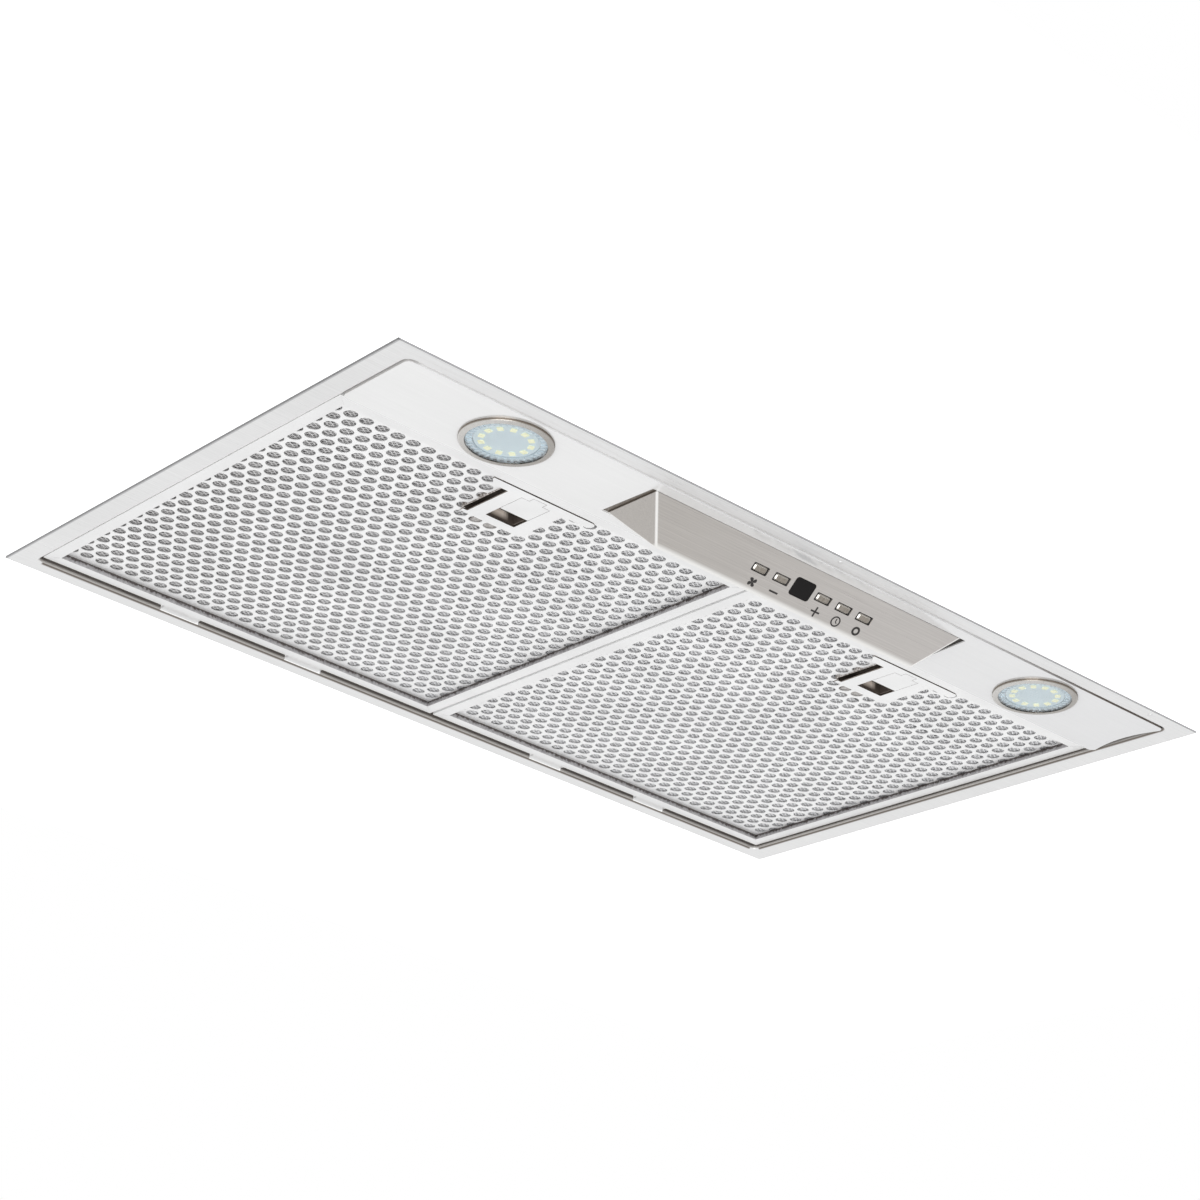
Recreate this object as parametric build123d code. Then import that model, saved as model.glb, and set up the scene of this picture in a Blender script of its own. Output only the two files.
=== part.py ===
"""Range hood insert: a flanged steel tray with two hinged grease filters, a lamp strip with a
wedge-shaped control housing, and a ducted centrifugal blower on its roof.

Frame: millimetres, +X along the long side, +Y to the rear, +Z up. The origin is the centre of
the flange's upper face, the face that meets the underside of the cabinet.
"""

import os
from math import cos, hypot, radians, sin, sqrt

from build123d import *

# ---------------------------------------------------------------- driving dimensions
# Flange and tray
FLANGE_LENGTH = 700.0          # X
FLANGE_WIDTH = 445.0           # Y
SHEET = 1.2                    # sheet of the flange and of the tray walls
BORDER_SIDE = 17.0             # flange edge to tray wall, left and right
BORDER_FRONT = 13.5
BORDER_REAR = 12.2
LIP_RADIUS = 2.4               # lower radius where the flange turns up into the wall
CORNER_RADIUS = 5.0            # plan radius of the tray's inner corners
TRAY_HEIGHT = 62.0
RIM_WIDTH = 12.0               # inward rim on top of the tray walls
ROOF_SHEET = 1.2

# Lamp strip, the fixed panel along the front
STRIP_DEPTH = 65.6             # Y
STRIP_SHEET = 1.0
STRIP_GAP = 0.8                # strip to tray wall
STRIP_RETURN = 14.0            # height of its turned-up edges
GRIP_DEPTH = 5.0               # shallow hollow in the strip's right end
GRIP_LENGTH = 58.0
STRIP_HEM = 10.0               # forward hem on the rear edge of the strip

# Control housing, the wedge that stands out of the strip
CONTROL_LENGTH = 269.0
CONTROL_WIDTH = 46.0
CONTROL_DEPTH = 23.2
CONTROL_HIP = 22.5             # how far each end slants in, from base to ridge
CONTROL_SHEET = 1.2
CONTROL_FRONT_INSET = 10.0     # strip's front edge to the housing
CONTROL_HEM, CONTROL_END_HEM = 8.0, 12.0
CONTROL_SIDE_GAP = 0.5         # strip opening to housing, at the front and rear
SLOT_LEFT_FRONT, SLOT_LEFT_REAR = 3.5, 5.0     # the same at the left end, at its front and rear
SLOT_RIGHT_FRONT, SLOT_RIGHT_REAR = 5.1, 8.5   # and at the right end
RIDGE_ROUND = 1.6

# Controls on the housing's front face
KEY_ROW = 15.9                 # base edge to the row, along the slope
KEY_PITCH = 18.5
KEY_WINDOW_LENGTH, KEY_WINDOW_HEIGHT = 13.2, 6.0
KEY_LENGTH, KEY_HEIGHT = 10.6, 4.8
KEY_SHIFT, KEY_DROP = 0.7, 0.2 # the caps sit this far right of, and below, their windows' centres
KEY_CLEARANCE = 0.3            # cap to its guide behind the window
KEY_RECESS = 0.3
KEY_CORNER, KEY_BEVEL = 1.2, 0.9
KEY_TRAVEL = 1.0
KEY_LIP = 0.9
KEY_NAMES = {-2: "fan", -1: "minus", 1: "plus", 2: "timer", 3: "light"}
DISPLAY_X = 1.1
DISPLAY_LENGTH, DISPLAY_HEIGHT, DISPLAY_CORNER = 17.2, 13.2, 2.2
CARRIER_DEPTH = 2.0
CARRIER_EAR = 5.4              # beyond the last key's reach, for the board's posts
BOARD_SHEET = 1.6
SWITCH_SIZE, SWITCH_HEIGHT = 6.0, 1.2

# Lamps
LAMP_X = 234.5
LAMP_INSET = 32.4              # strip's front edge to the lamp centres
LAMP_FACE_RADIUS = 25.8
BEZEL_RADIUS = 29.3
BEZEL_PROUD = 2.0
BEZEL_WALL = 1.2
BEZEL_LIP = 0.6                # how far the ring overlaps the glass
LAMP_CLEARANCE = 0.3
LENS_SHEET = 1.2
LAMP_BOARD_RADIUS = 20.0
CHIP_CIRCLE, CHIP_SIZE, CHIP_COUNT = 15.5, 3.6, 12
LAMP_BODY_HEIGHT = 24.0
LAMP_NECK_RADIUS, LAMP_NECK_HEIGHT = 11.0, 8.0
SOCKET_RADIUS, SOCKET_HEIGHT = 13.5, 16.0

# Filters
FILTER_RECESS = 3.0            # flange's lower face up to the filter's lower face
FILTER_DEPTH = 10.0            # thickness
FILTER_SIDE_GAP = 2.2          # outer edge to tray wall
FILTER_MID_GAP = 2.4           # between the two filters
FILTER_REAR_GAP = 4.1
FILTER_FRONT_GAP = 3.3
FRAME_MEMBER = 9.0             # width of the frame's face
FRAME_SHEET = 0.8
FACE_RECESS = 4.0              # frame's lower face up to the perforated face
FACE_SHEET = 0.6
HOLE_PITCH = 11.74
HOLE_RADIUS = 4.55
HOLE_START_X = 10.3            # filter's left edge to the first hole
HOLE_START_Y = 21.2            # filter's front edge to the first row
HOLE_ROW_COUNT = 31
MESH_LAYERS, MESH_SHEET, MESH_SPACING = 3, 0.3, 1.1
MESH_GAP = 0.8                 # mesh to the latch pan
TAB_SPACING = 105.0
TAB_WIDTH = 30.0
TAB_SHEET = 1.5
TAB_BEYOND = 3.0               # hinge line to the tab's tip
TAB_RAISE = 0.3                # frame's lower face to the tab
TAB_SLOT_RISE = 3.75           # hinge line to the slot's upper edge
TAB_SLOT_CLEARANCE = 0.8
HINGE_INSET = 0.3              # tray's rear wall face to the hinge line
FIT_GAP = 0.3                  # face to face gap between pieces that only rest together

# Latches
LATCH_RAISE = 1.0              # frame's lower face to the latch plate
LATCH_SHEET = 0.8
LATCH_HALF_WIDTH = 22.4
LATCH_REAR, LATCH_STEP, LATCH_FRONT = 64.6, 19.9, 12.2   # from the filter's front edge
LATCH_FOOT_LEFT, LATCH_FOOT_RIGHT = 39.2, 43.5
LATCH_SIDE_SLOT = 2.8
LATCH_SLOT_REAR = 61.1         # from the filter's front edge to the rear end of the side slot
WINDOW_WIDTH, WINDOW_REAR, WINDOW_FRONT = 23.0, 56.3, 41.9
SLIDER_NECK, SLIDER_NECK_REACH = 10.8, 4.6
SLIDER_CLEARANCE = 0.25
LATCH_TRAVEL = 6.0
TONGUE_WIDTH, TONGUE_SHEET = 10.0, 1.5
KEEPER_GAP = 0.4               # tongue's tip to the strip's rear return
KEEPER_WIDTH, KEEPER_HEIGHT = 13.0, 4.0
SPRING_ROOM, SPRING_HALF = 10.0, 9.0           # the pan's narrow end, with the slider pulled back
SPRING_RADIUS, SPRING_WIRE, SPRING_TURNS = 1.1, 0.2, 9

# Centre rail between the filters
RAIL_HEIGHT, RAIL_WIDTH, RAIL_SHEET = 19.0, 18.0, 1.0

# Blower
BOX_LENGTH, BOX_WIDTH, BOX_HEIGHT = 280.0, 270.0, 200.0
BOX_Y = 20.0
BOX_SHEET = 1.0
BOX_HEM = 12.0
INLET_X0, INLET_X1, INLET_Y0, INLET_Y1 = -90.0, 118.0, -85.0, 128.0
IMPELLER_RADIUS, IMPELLER_WIDTH = 70.0, 92.0
BLADE_COUNT, BLADE_CHORD, BLADE_SHEET, BLADE_TILT = 32, 13.0, 1.2, 38.0
END_RING = 2.4
SCROLL_Y = 8.0
SCROLL_START, SCROLL_GROWTH = 77.0, 38.0     # first radius and growth over its sweep
SCROLL_TONGUE = 80.0           # angle of the tongue, from +Y
SCROLL_WALL = 2.0
SCROLL_HALF_WIDTH = 52.0
SCROLL_FLOOR_GAP = 4.0
SCROLL_EYE_RADIUS = 62.0
SCROLL_FLANGE = 9.0
MOTOR_RADIUS = 39.0
MOTOR_START = 6.0              # impeller's mid-plane to the motor
SHAFT_RADIUS, SHAFT_CLEARANCE = 4.0, 0.05
HUB_RADIUS, HUB_LENGTH = 12.0, 14.0
BRACKET_SHEET, BRACKET_ARM = 2.0, 14.0

# Outlet collar and its two flaps
COLLAR_Y = 72.0
COLLAR_RADIUS = 74.5
COLLAR_WALL = 1.5
COLLAR_HEIGHT = 32.0
COLLAR_FLANGE = 6.5
STOP_HEIGHT, STOP_WIDTH, STOP_SHEET = 5.0, 3.0, 1.2
FLAP_SHEET = 1.2
FLAP_EDGE_GAP = 1.2
FLAP_PIN_RADIUS, FLAP_PIN_CLEARANCE, KNUCKLE_RADIUS = 1.5, 0.06, 2.7
KNUCKLE_LENGTH, KNUCKLE_GAP = 28.0, 0.6

# Electrics on the roof and in the bay
TERMINAL_X, TERMINAL_Y = -258.0, 52.0
TERMINAL_LENGTH, TERMINAL_WIDTH, TERMINAL_HEIGHT, TERMINAL_WALL = 85.0, 65.0, 35.0, 2.0
GLAND_RADIUS, GLAND_BORE, GLAND_LENGTH, GLAND_HEIGHT = 9.0, 4.5, 18.0, 18.0
CAPACITOR_X, CAPACITOR_Y, CAPACITOR_RADIUS, CAPACITOR_HEIGHT = -116.0, 100.0, 15.0, 55.0
MODULE_LENGTH, MODULE_WIDTH, MODULE_HEIGHT = 120.0, 42.0, 28.0

# Fasteners
SCREW_RADIUS, SCREW_HEAD_RADIUS, SCREW_HEAD_HEIGHT = 1.9, 3.8, 2.2
SCREW_CLEARANCE = 0.15
RIM_SCREW_INSET, RIM_CORNER_INSET = 58.0, 153.0      # end walls to the first screws of each side
BOX_SCREW_INSET = 48.0
RIVET_RADIUS, RIVET_HEAD_RADIUS, RIVET_HEAD = 1.6, 3.0, 0.8
BRACKET_Y, BRACKET_LENGTH, BRACKET_HEIGHT, BRACKET_THICK = 100.0, 36.0, 44.0, 1.5
BRACKET_HOLE_RADIUS, BRACKET_HOLE_Z = 2.25, 36.0
FASCIA_RIVET_X = (5.0, 307.0)
FASCIA_RIVET_RADIUS, FASCIA_RIVET_HEAD = 1.2, 0.25

# ---------------------------------------------------------------- derived places
Z_UNDER = -SHEET                                   # flange's lower face
WALL_X = FLANGE_LENGTH / 2 - BORDER_SIDE           # inner faces of the tray
WALL_FRONT = -FLANGE_WIDTH / 2 + BORDER_FRONT
WALL_REAR = FLANGE_WIDTH / 2 - BORDER_REAR
ROOF_TOP = TRAY_HEIGHT + ROOF_SHEET

STRIP_X = WALL_X - STRIP_GAP
STRIP_FRONT = WALL_FRONT + STRIP_GAP
STRIP_REAR = STRIP_FRONT + STRIP_DEPTH
STRIP_CORNER = CORNER_RADIUS - STRIP_GAP
STRIP_TOP = Z_UNDER + STRIP_SHEET
BULKHEAD_Z = Z_UNDER + STRIP_RETURN

CONTROL_Y0 = STRIP_FRONT + CONTROL_FRONT_INSET - CONTROL_SIDE_GAP
CONTROL_Y1 = CONTROL_Y0 + CONTROL_WIDTH
CONTROL_RIDGE_Y = (CONTROL_Y0 + CONTROL_Y1) / 2
# Local frame of the front face: x along X, y up the slope towards the base, z outwards.
FACE_PLANE = Plane(
    origin=(0, CONTROL_Y0, Z_UNDER),
    x_dir=(1, 0, 0),
    z_dir=(0, -CONTROL_DEPTH, -CONTROL_WIDTH / 2),
)
WINDOW_XS = {index: DISPLAY_X + index * KEY_PITCH for index in KEY_NAMES}
KEY_XS = {index: x + KEY_SHIFT for index, x in WINDOW_XS.items()}
KEY_V = KEY_ROW + KEY_DROP
CARRIER_X0 = min(KEY_XS.values()) - KEY_LENGTH - CARRIER_EAR
CARRIER_X1 = max(KEY_XS.values()) + KEY_LENGTH + CARRIER_EAR
CARRIER_WIDTH = DISPLAY_HEIGHT + 4.0
KEY_LIP_DEPTH = CONTROL_SHEET + CARRIER_DEPTH + FIT_GAP     # below the housing's face
KEY_STEM_DEPTH = KEY_LIP_DEPTH + KEY_LIP + 0.9
SWITCH_DEPTH = KEY_STEM_DEPTH + KEY_TRAVEL + FIT_GAP
BOARD_DEPTH = SWITCH_DEPTH + SWITCH_HEIGHT

LAMP_Y = STRIP_FRONT + LAMP_INSET
LAMP_HOLE_RADIUS = LAMP_FACE_RADIUS + LAMP_CLEARANCE + BEZEL_WALL + LAMP_CLEARANCE
LENS_Z = Z_UNDER - BEZEL_PROUD + 0.5
LAMP_BOARD_Z = LENS_Z + LENS_SHEET + 1.1
LAMP_BODY_Z = LAMP_BOARD_Z + 1.0

FILTER_Z = Z_UNDER + FILTER_RECESS
FILTER_TOP = FILTER_Z + FILTER_DEPTH
FILTER_LENGTH = WALL_X - FILTER_SIDE_GAP - FILTER_MID_GAP / 2     # X of one filter
FILTER_FRONT = STRIP_REAR + FILTER_FRONT_GAP
FILTER_REAR = WALL_REAR - FILTER_REAR_GAP
FILTER_X = (FILTER_LENGTH + FILTER_MID_GAP) / 2
FACE_Z = FILTER_Z + FACE_RECESS
MESH_Z = FACE_Z + FACE_SHEET + 0.6
HINGE_Y = WALL_REAR + HINGE_INSET
TAB_Z = FILTER_Z + TAB_RAISE
HINGE_Z = TAB_Z + TAB_SHEET / 2

LATCH_Z = FILTER_Z + LATCH_RAISE
PAN_TOP = FILTER_TOP - 0.1
PAN_REAR = FILTER_FRONT + LATCH_REAR + LATCH_TRAVEL + SPRING_ROOM
TONGUE_Z = LATCH_Z + LATCH_SHEET + 0.4

BOX_Y0, BOX_Y1 = BOX_Y - BOX_WIDTH / 2, BOX_Y + BOX_WIDTH / 2
BOX_TOP = ROOF_TOP + BOX_HEIGHT


def scroll_radius(angle):
    """Inner radius of the scroll at an angle in degrees from +Y, from the tongue onwards."""
    return SCROLL_START + SCROLL_GROWTH * (angle - SCROLL_TONGUE) / (360 - SCROLL_TONGUE)


SCROLL_Z = ROOF_TOP + SCROLL_FLOOR_GAP + scroll_radius(270) + SCROLL_WALL
COLLAR_INNER = COLLAR_RADIUS - COLLAR_WALL
STOP_Z = BOX_TOP + STOP_HEIGHT
FLAP_Z = STOP_Z + STOP_SHEET + FIT_GAP
FLAP_PIN_Z = FLAP_Z + FLAP_SHEET / 2 + 1.2

parts = {}


# ---------------------------------------------------------------- helpers
def block(x0, x1, y0, y1, z0, z1):
    """Box between two corners."""
    return Pos((x0 + x1) / 2, (y0 + y1) / 2, (z0 + z1) / 2) * Box(x1 - x0, y1 - y0, z1 - z0)


def disc(x, y, z0, z1, radius):
    """Upright cylinder between two heights."""
    return Pos(x, y, (z0 + z1) / 2) * Cylinder(radius, z1 - z0)


def rod_x(x0, x1, y, z, radius):
    """Cylinder along X."""
    return Pos((x0 + x1) / 2, y, z) * Rot(0, 90, 0) * Cylinder(radius, x1 - x0)


def frame_ring(x0, x1, y0, y1, width, z0, z1):
    """Rectangular ring of one width."""
    return block(x0, x1, y0, y1, z0, z1) - block(
        x0 + width, x1 - width, y0 + width, y1 - width, z0, z1
    )


def on_face(x, v, depth, length, height, thick, corner=0.0):
    """Block under the housing's front face: v is down the slope, depth is below the face."""
    sketch = RectangleRounded(length, height, corner) if corner else Rectangle(length, height)
    return FACE_PLANE * Pos(x, -v, -depth - thick) * extrude(sketch, thick)


def face_pin(x, v, depth0, depth1, radius):
    """Round pin square to the housing's front face."""
    return FACE_PLANE * Pos(x, -v, -(depth0 + depth1) / 2) * Cylinder(radius, depth1 - depth0)


def pan_screw(x, y, z, length, up=True):
    """Pan-head screw whose head sits on height z; the shank runs down, or up if up is False."""
    sign = 1 if up else -1
    head = disc(x, y, min(z, z + sign * SCREW_HEAD_HEIGHT), max(z, z + sign * SCREW_HEAD_HEIGHT),
                SCREW_HEAD_RADIUS)
    top = head.faces().sort_by(Axis.Z)[-1 if up else 0]
    head = fillet(top.edges(), 0.9)
    cross = block(x - 1.8, x + 1.8, y - 0.35, y + 0.35, z + sign * 1.3, z + sign * 3.0) if up else None
    shank = disc(x, y, min(z, z - sign * length), max(z, z - sign * length), SCREW_RADIUS)
    screw = head + shank
    if cross:
        screw -= cross
        screw -= block(x - 0.35, x + 0.35, y - 1.8, y + 1.8, z + 1.3, z + 3.0)
    return screw


def screw_holes(places, z0, z1):
    """Clearance cylinders for a list of (x, y) screw places."""
    return [disc(x, y, z0, z1, SCREW_RADIUS + SCREW_CLEARANCE) for x, y in places]


def bodies(shape):
    """Keep a shape's solids as one compound, or the single solid itself."""
    solids = shape.solids()
    return solids[0] if len(solids) == 1 else Compound(children=list(solids))


def group(*shapes):
    """Separate solids in one node."""
    return Compound(children=[solid for shape in shapes for solid in shape.solids()])


# ---------------------------------------------------------------- flange and tray
RIM_SCREWS = [(sx * (WALL_X - RIM_WIDTH / 2), y) for sx in (-1, 1)
              for y in (WALL_FRONT + RIM_SCREW_INSET, 0.0, WALL_REAR - RIM_SCREW_INSET)]
RIM_SCREWS += [(sx * (WALL_X - RIM_CORNER_INSET), y) for sx in (-1, 1)
               for y in (WALL_FRONT + RIM_WIDTH / 2, WALL_REAR - RIM_WIDTH / 2)]
BRACKETS = [(sx, sy * BRACKET_Y) for sx in (-1, 1) for sy in (-1, 1)]


def wall_rod(side, y, z, radius, reach=4.0):
    """Cylinder through a side wall of the tray."""
    ends = sorted((side * (WALL_X - reach), side * (WALL_X + SHEET + reach)))
    return rod_x(ends[0], ends[1], y, z, radius)


def make_flange_frame():
    """Flange and tray walls, folded from one sheet, with an inward rim for the roof."""
    mid_y = (WALL_FRONT + WALL_REAR) / 2
    depth = WALL_REAR - WALL_FRONT
    opening = Pos(0, mid_y) * RectangleRounded(2 * WALL_X, depth, CORNER_RADIUS)
    outer = Pos(0, mid_y) * RectangleRounded(
        2 * (WALL_X + SHEET), depth + 2 * SHEET, CORNER_RADIUS + SHEET
    )
    flange = extrude(Rectangle(FLANGE_LENGTH, FLANGE_WIDTH) - opening, SHEET)
    walls = extrude(outer - opening, TRAY_HEIGHT + SHEET)
    body = Pos(0, 0, Z_UNDER) * (flange + walls)
    seat = [edge for edge in body.edges().filter_by_position(Axis.Z, -0.01, 0.01)
            if abs(edge.center().X) < FLANGE_LENGTH / 2 - 1 and abs(edge.center().Y) < FLANGE_WIDTH / 2 - 1]
    body = fillet(seat, LIP_RADIUS - SHEET)
    lip = [edge for edge in body.edges().filter_by_position(Axis.Z, Z_UNDER - 0.01, Z_UNDER + 0.01)
           if abs(edge.center().X) < FLANGE_LENGTH / 2 - 1 and abs(edge.center().Y) < FLANGE_WIDTH / 2 - 1]
    body = fillet(lip, LIP_RADIUS)
    rim = Pos(0, mid_y, TRAY_HEIGHT - SHEET) * extrude(
        RectangleRounded(2 * WALL_X, depth, CORNER_RADIUS)
        - Rectangle(2 * (WALL_X - RIM_WIDTH), depth - 2 * RIM_WIDTH), SHEET)
    body += rim
    for side in (-1, 1):
        for offset in (-TAB_SPACING / 2, TAB_SPACING / 2):
            x = side * FILTER_X + offset
            half = TAB_WIDTH / 2 + TAB_SLOT_CLEARANCE
            body -= block(x - half, x + half, WALL_REAR - 1.0, WALL_REAR + LIP_RADIUS,
                          0.0, HINGE_Z + TAB_SLOT_RISE)
    for side, y in BRACKETS:
        body -= wall_rod(side, y, BRACKET_HOLE_Z, BRACKET_HOLE_RADIUS)
        for dy in (-1, 1):
            body -= wall_rod(side, y + dy * BRACKET_LENGTH / 3, BRACKET_HOLE_Z - 12,
                             RIVET_RADIUS + SCREW_CLEARANCE)
    for hole in screw_holes(RIM_SCREWS, TRAY_HEIGHT - 3, TRAY_HEIGHT + 1):
        body -= hole
    for x in FASCIA_RIVET_X:
        body -= disc(x, -FLANGE_WIDTH / 2 + (BORDER_FRONT - LIP_RADIUS) / 2, Z_UNDER - 1, 1,
                     FASCIA_RIVET_RADIUS + 0.05)
    return body


BOX_SCREWS = [(sx * (BOX_LENGTH + BOX_HEM) / 2, BOX_Y + sy * (BOX_WIDTH / 2 - BOX_SCREW_INSET))
              for sx in (-1, 1) for sy in (-1, 1)]
BOX_SCREWS += [(sx * (BOX_LENGTH / 2 - BOX_SCREW_INSET), BOX_Y + sy * (BOX_WIDTH + BOX_HEM) / 2)
               for sx in (-1, 1) for sy in (-1, 1)]
STRIP_SCREWS = [(x, STRIP_REAR - STRIP_HEM / 2 - STRIP_SHEET) for x in (-300.0, -100.0, 100.0, 300.0)]


def make_tray_roof():
    """Flat roof of the tray, with the blower's suction opening."""
    plate = block(-WALL_X - SHEET, WALL_X + SHEET, WALL_FRONT - SHEET, WALL_REAR + SHEET,
                  TRAY_HEIGHT, ROOF_TOP)
    plate -= block(INLET_X0, INLET_X1, INLET_Y0, INLET_Y1, TRAY_HEIGHT, ROOF_TOP)
    for hole in screw_holes(RIM_SCREWS + BOX_SCREWS, TRAY_HEIGHT, ROOF_TOP):
        plate -= hole
    plate -= disc(CAPACITOR_X, CAPACITOR_Y, TRAY_HEIGHT, ROOF_TOP, 3.3)
    return plate


def make_bulkhead():
    """Wall between the filter space and the lamp bay, hemmed forwards at top and bottom."""
    x1 = WALL_X - FIT_GAP
    y1 = STRIP_REAR
    wall = block(-x1, x1, y1 - STRIP_SHEET, y1, BULKHEAD_Z, TRAY_HEIGHT - SHEET - FIT_GAP)
    foot = block(-x1 + 8, x1 - 8, y1 - STRIP_HEM - STRIP_SHEET, y1, BULKHEAD_Z, BULKHEAD_Z + STRIP_SHEET)
    inner = WALL_X - RIM_WIDTH - 1
    wall += block(-inner, inner, y1 - STRIP_SHEET, y1, TRAY_HEIGHT - SHEET - 2, TRAY_HEIGHT)
    head = block(-inner, inner, y1 - STRIP_HEM - STRIP_SHEET, y1, TRAY_HEIGHT - STRIP_SHEET, TRAY_HEIGHT)
    body = wall + foot + head
    for hole in screw_holes(STRIP_SCREWS, BULKHEAD_Z - 1, BULKHEAD_Z + 2):
        body -= hole
    return body


def strip_outline():
    """Plan of the lamp strip, with the shallow hollow in its right end."""
    mid = (STRIP_FRONT + STRIP_REAR) / 2
    plan = Pos(0, mid) * RectangleRounded(2 * STRIP_X, STRIP_DEPTH, STRIP_CORNER)
    grip = (GRIP_LENGTH ** 2 / 4 + GRIP_DEPTH ** 2) / (2 * GRIP_DEPTH)
    return plan - Pos(STRIP_X + grip - GRIP_DEPTH, mid) * Circle(grip)


def make_lamp_strip():
    """Front panel: a shallow pan with lamp holes, the housing's opening and keeper slots."""
    plan = strip_outline()
    shell = extrude(plan, STRIP_RETURN) - Pos(0, 0, STRIP_SHEET) * extrude(
        offset(plan, -STRIP_SHEET, kind=Kind.INTERSECTION), STRIP_RETURN)
    body = Pos(0, 0, Z_UNDER) * shell
    y1 = STRIP_REAR - STRIP_SHEET / 2
    body += block(-STRIP_X + 9, STRIP_X - 12, y1 - STRIP_HEM, y1, BULKHEAD_Z - STRIP_SHEET, BULKHEAD_Z)
    for side in (-1, 1):
        body -= disc(side * LAMP_X, LAMP_Y, Z_UNDER - 1, STRIP_TOP + 1, LAMP_HOLE_RADIUS)
        x = side * FILTER_X
        z = TONGUE_Z + TONGUE_SHEET / 2
        body -= block(x - KEEPER_WIDTH / 2, x + KEEPER_WIDTH / 2, STRIP_REAR - 2, STRIP_REAR + 1,
                      z - KEEPER_HEIGHT / 2, z + KEEPER_HEIGHT / 2)
    half = CONTROL_LENGTH / 2
    front, rear = CONTROL_Y0 - CONTROL_SIDE_GAP, CONTROL_Y1 + CONTROL_SIDE_GAP
    opening = Polygon(
        (-half - SLOT_LEFT_FRONT, front), (half + SLOT_RIGHT_FRONT, front),
        (half + SLOT_RIGHT_REAR, rear), (-half - SLOT_LEFT_REAR, rear), align=None,
    )
    body -= Pos(0, 0, Z_UNDER - 1) * extrude(opening, STRIP_SHEET + 2)
    for hole in screw_holes(STRIP_SCREWS, BULKHEAD_Z - 3, BULKHEAD_Z + 1):
        body -= hole
    return body


def make_centre_rail():
    """T-shaped rail above the gap between the filters."""
    z0 = FILTER_TOP + FIT_GAP
    y0, y1 = STRIP_REAR + FIT_GAP, WALL_REAR - FIT_GAP
    web = block(-RAIL_SHEET / 2, RAIL_SHEET / 2, y0, y1, z0, z0 + RAIL_HEIGHT)
    foot = block(-RAIL_WIDTH / 2, RAIL_WIDTH / 2, y0, y1, z0, z0 + RAIL_SHEET)
    ends = block(-RAIL_WIDTH / 2, RAIL_WIDTH / 2, y0, y0 + RAIL_SHEET, z0, z0 + RAIL_HEIGHT)
    ends += block(-RAIL_WIDTH / 2, RAIL_WIDTH / 2, y1 - RAIL_SHEET, y1, z0, z0 + RAIL_HEIGHT)
    return web + foot + ends


# ---------------------------------------------------------------- control housing
def hip_solid(inset=0.0):
    """Hipped wedge of the control housing, moved in by a wall on every side."""
    mid = CONTROL_RIDGE_Y
    section = Polygon(
        (CONTROL_Y0, Z_UNDER), (CONTROL_Y1, Z_UNDER), (mid, Z_UNDER - CONTROL_DEPTH), align=None
    )
    half = CONTROL_LENGTH / 2
    profile = Polygon(
        (-half, Z_UNDER), (half, Z_UNDER), (half - CONTROL_HIP, Z_UNDER - CONTROL_DEPTH),
        (-half + CONTROL_HIP, Z_UNDER - CONTROL_DEPTH), align=None,
    )
    if inset:
        section = offset(section, -inset, kind=Kind.INTERSECTION)
        profile = offset(profile, -inset, kind=Kind.INTERSECTION)
    # Sections drawn in (Y, Z) and (X, Z) are stood up and crossed.
    across = extrude(Plane.YZ * section, CONTROL_LENGTH, both=True)
    along = extrude(Plane.XZ * profile, FLANGE_WIDTH, both=True)
    return across & along


def make_control_housing():
    """Thin steel wedge with a neck and a hem that rests on the lamp strip."""
    outer = hip_solid()
    edges = [edge for edge in outer.edges() if edge.center().Z < Z_UNDER - 0.5]
    outer = fillet(edges, RIDGE_ROUND)
    half, t = CONTROL_LENGTH / 2, CONTROL_SHEET
    neck_top = STRIP_TOP + t
    outer += block(-half, half, CONTROL_Y0, CONTROL_Y1, Z_UNDER, neck_top)
    end, side = CONTROL_END_HEM, CONTROL_HEM - 1
    outer += block(-half - end, half + end, CONTROL_Y0 - side, CONTROL_Y1 + side, STRIP_TOP, neck_top)
    cavity = hip_solid(t) + block(-half + t * 2, half - t * 2, CONTROL_Y0 + t * 2, CONTROL_Y1 - t * 2,
                                  Z_UNDER - t, neck_top)
    body = outer - cavity
    for x in WINDOW_XS.values():
        body -= on_face(x, KEY_ROW, -1, KEY_WINDOW_LENGTH, KEY_WINDOW_HEIGHT, 1 + t + 0.5, 0.8)
    body -= on_face(DISPLAY_X, KEY_ROW, -1, DISPLAY_LENGTH, DISPLAY_HEIGHT, 1 + t + 0.5, DISPLAY_CORNER)
    return body


CARRIER_MID = (CARRIER_X0 + CARRIER_X1) / 2
CARRIER_LENGTH = CARRIER_X1 - CARRIER_X0
BOARD_POSTS = (CARRIER_X0 + 3.2, CARRIER_X1 - 3.2)


def make_control_carrier():
    """Plastic bezel behind the housing's face that guides the keys and carries the board."""
    body = on_face(CARRIER_MID, KEY_ROW, CONTROL_SHEET, CARRIER_LENGTH, CARRIER_WIDTH, CARRIER_DEPTH)
    for x in KEY_XS.values():
        body -= on_face(x, KEY_V, 0, KEY_LENGTH + 2 * KEY_CLEARANCE, KEY_HEIGHT + 2 * KEY_CLEARANCE,
                        CONTROL_SHEET + CARRIER_DEPTH + 1, KEY_CORNER)
    body -= on_face(DISPLAY_X, KEY_ROW, 0, DISPLAY_LENGTH, DISPLAY_HEIGHT,
                    CONTROL_SHEET + CARRIER_DEPTH + 1, DISPLAY_CORNER)
    for x in BOARD_POSTS:
        post = on_face(x, KEY_ROW, CONTROL_SHEET + CARRIER_DEPTH, 6.0, 8.0,
                       BOARD_DEPTH - CONTROL_SHEET - CARRIER_DEPTH)
        body += post
        body -= face_pin(x, KEY_ROW, BOARD_DEPTH - 4.0, BOARD_DEPTH + 1, 1.1)
    return body


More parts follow.
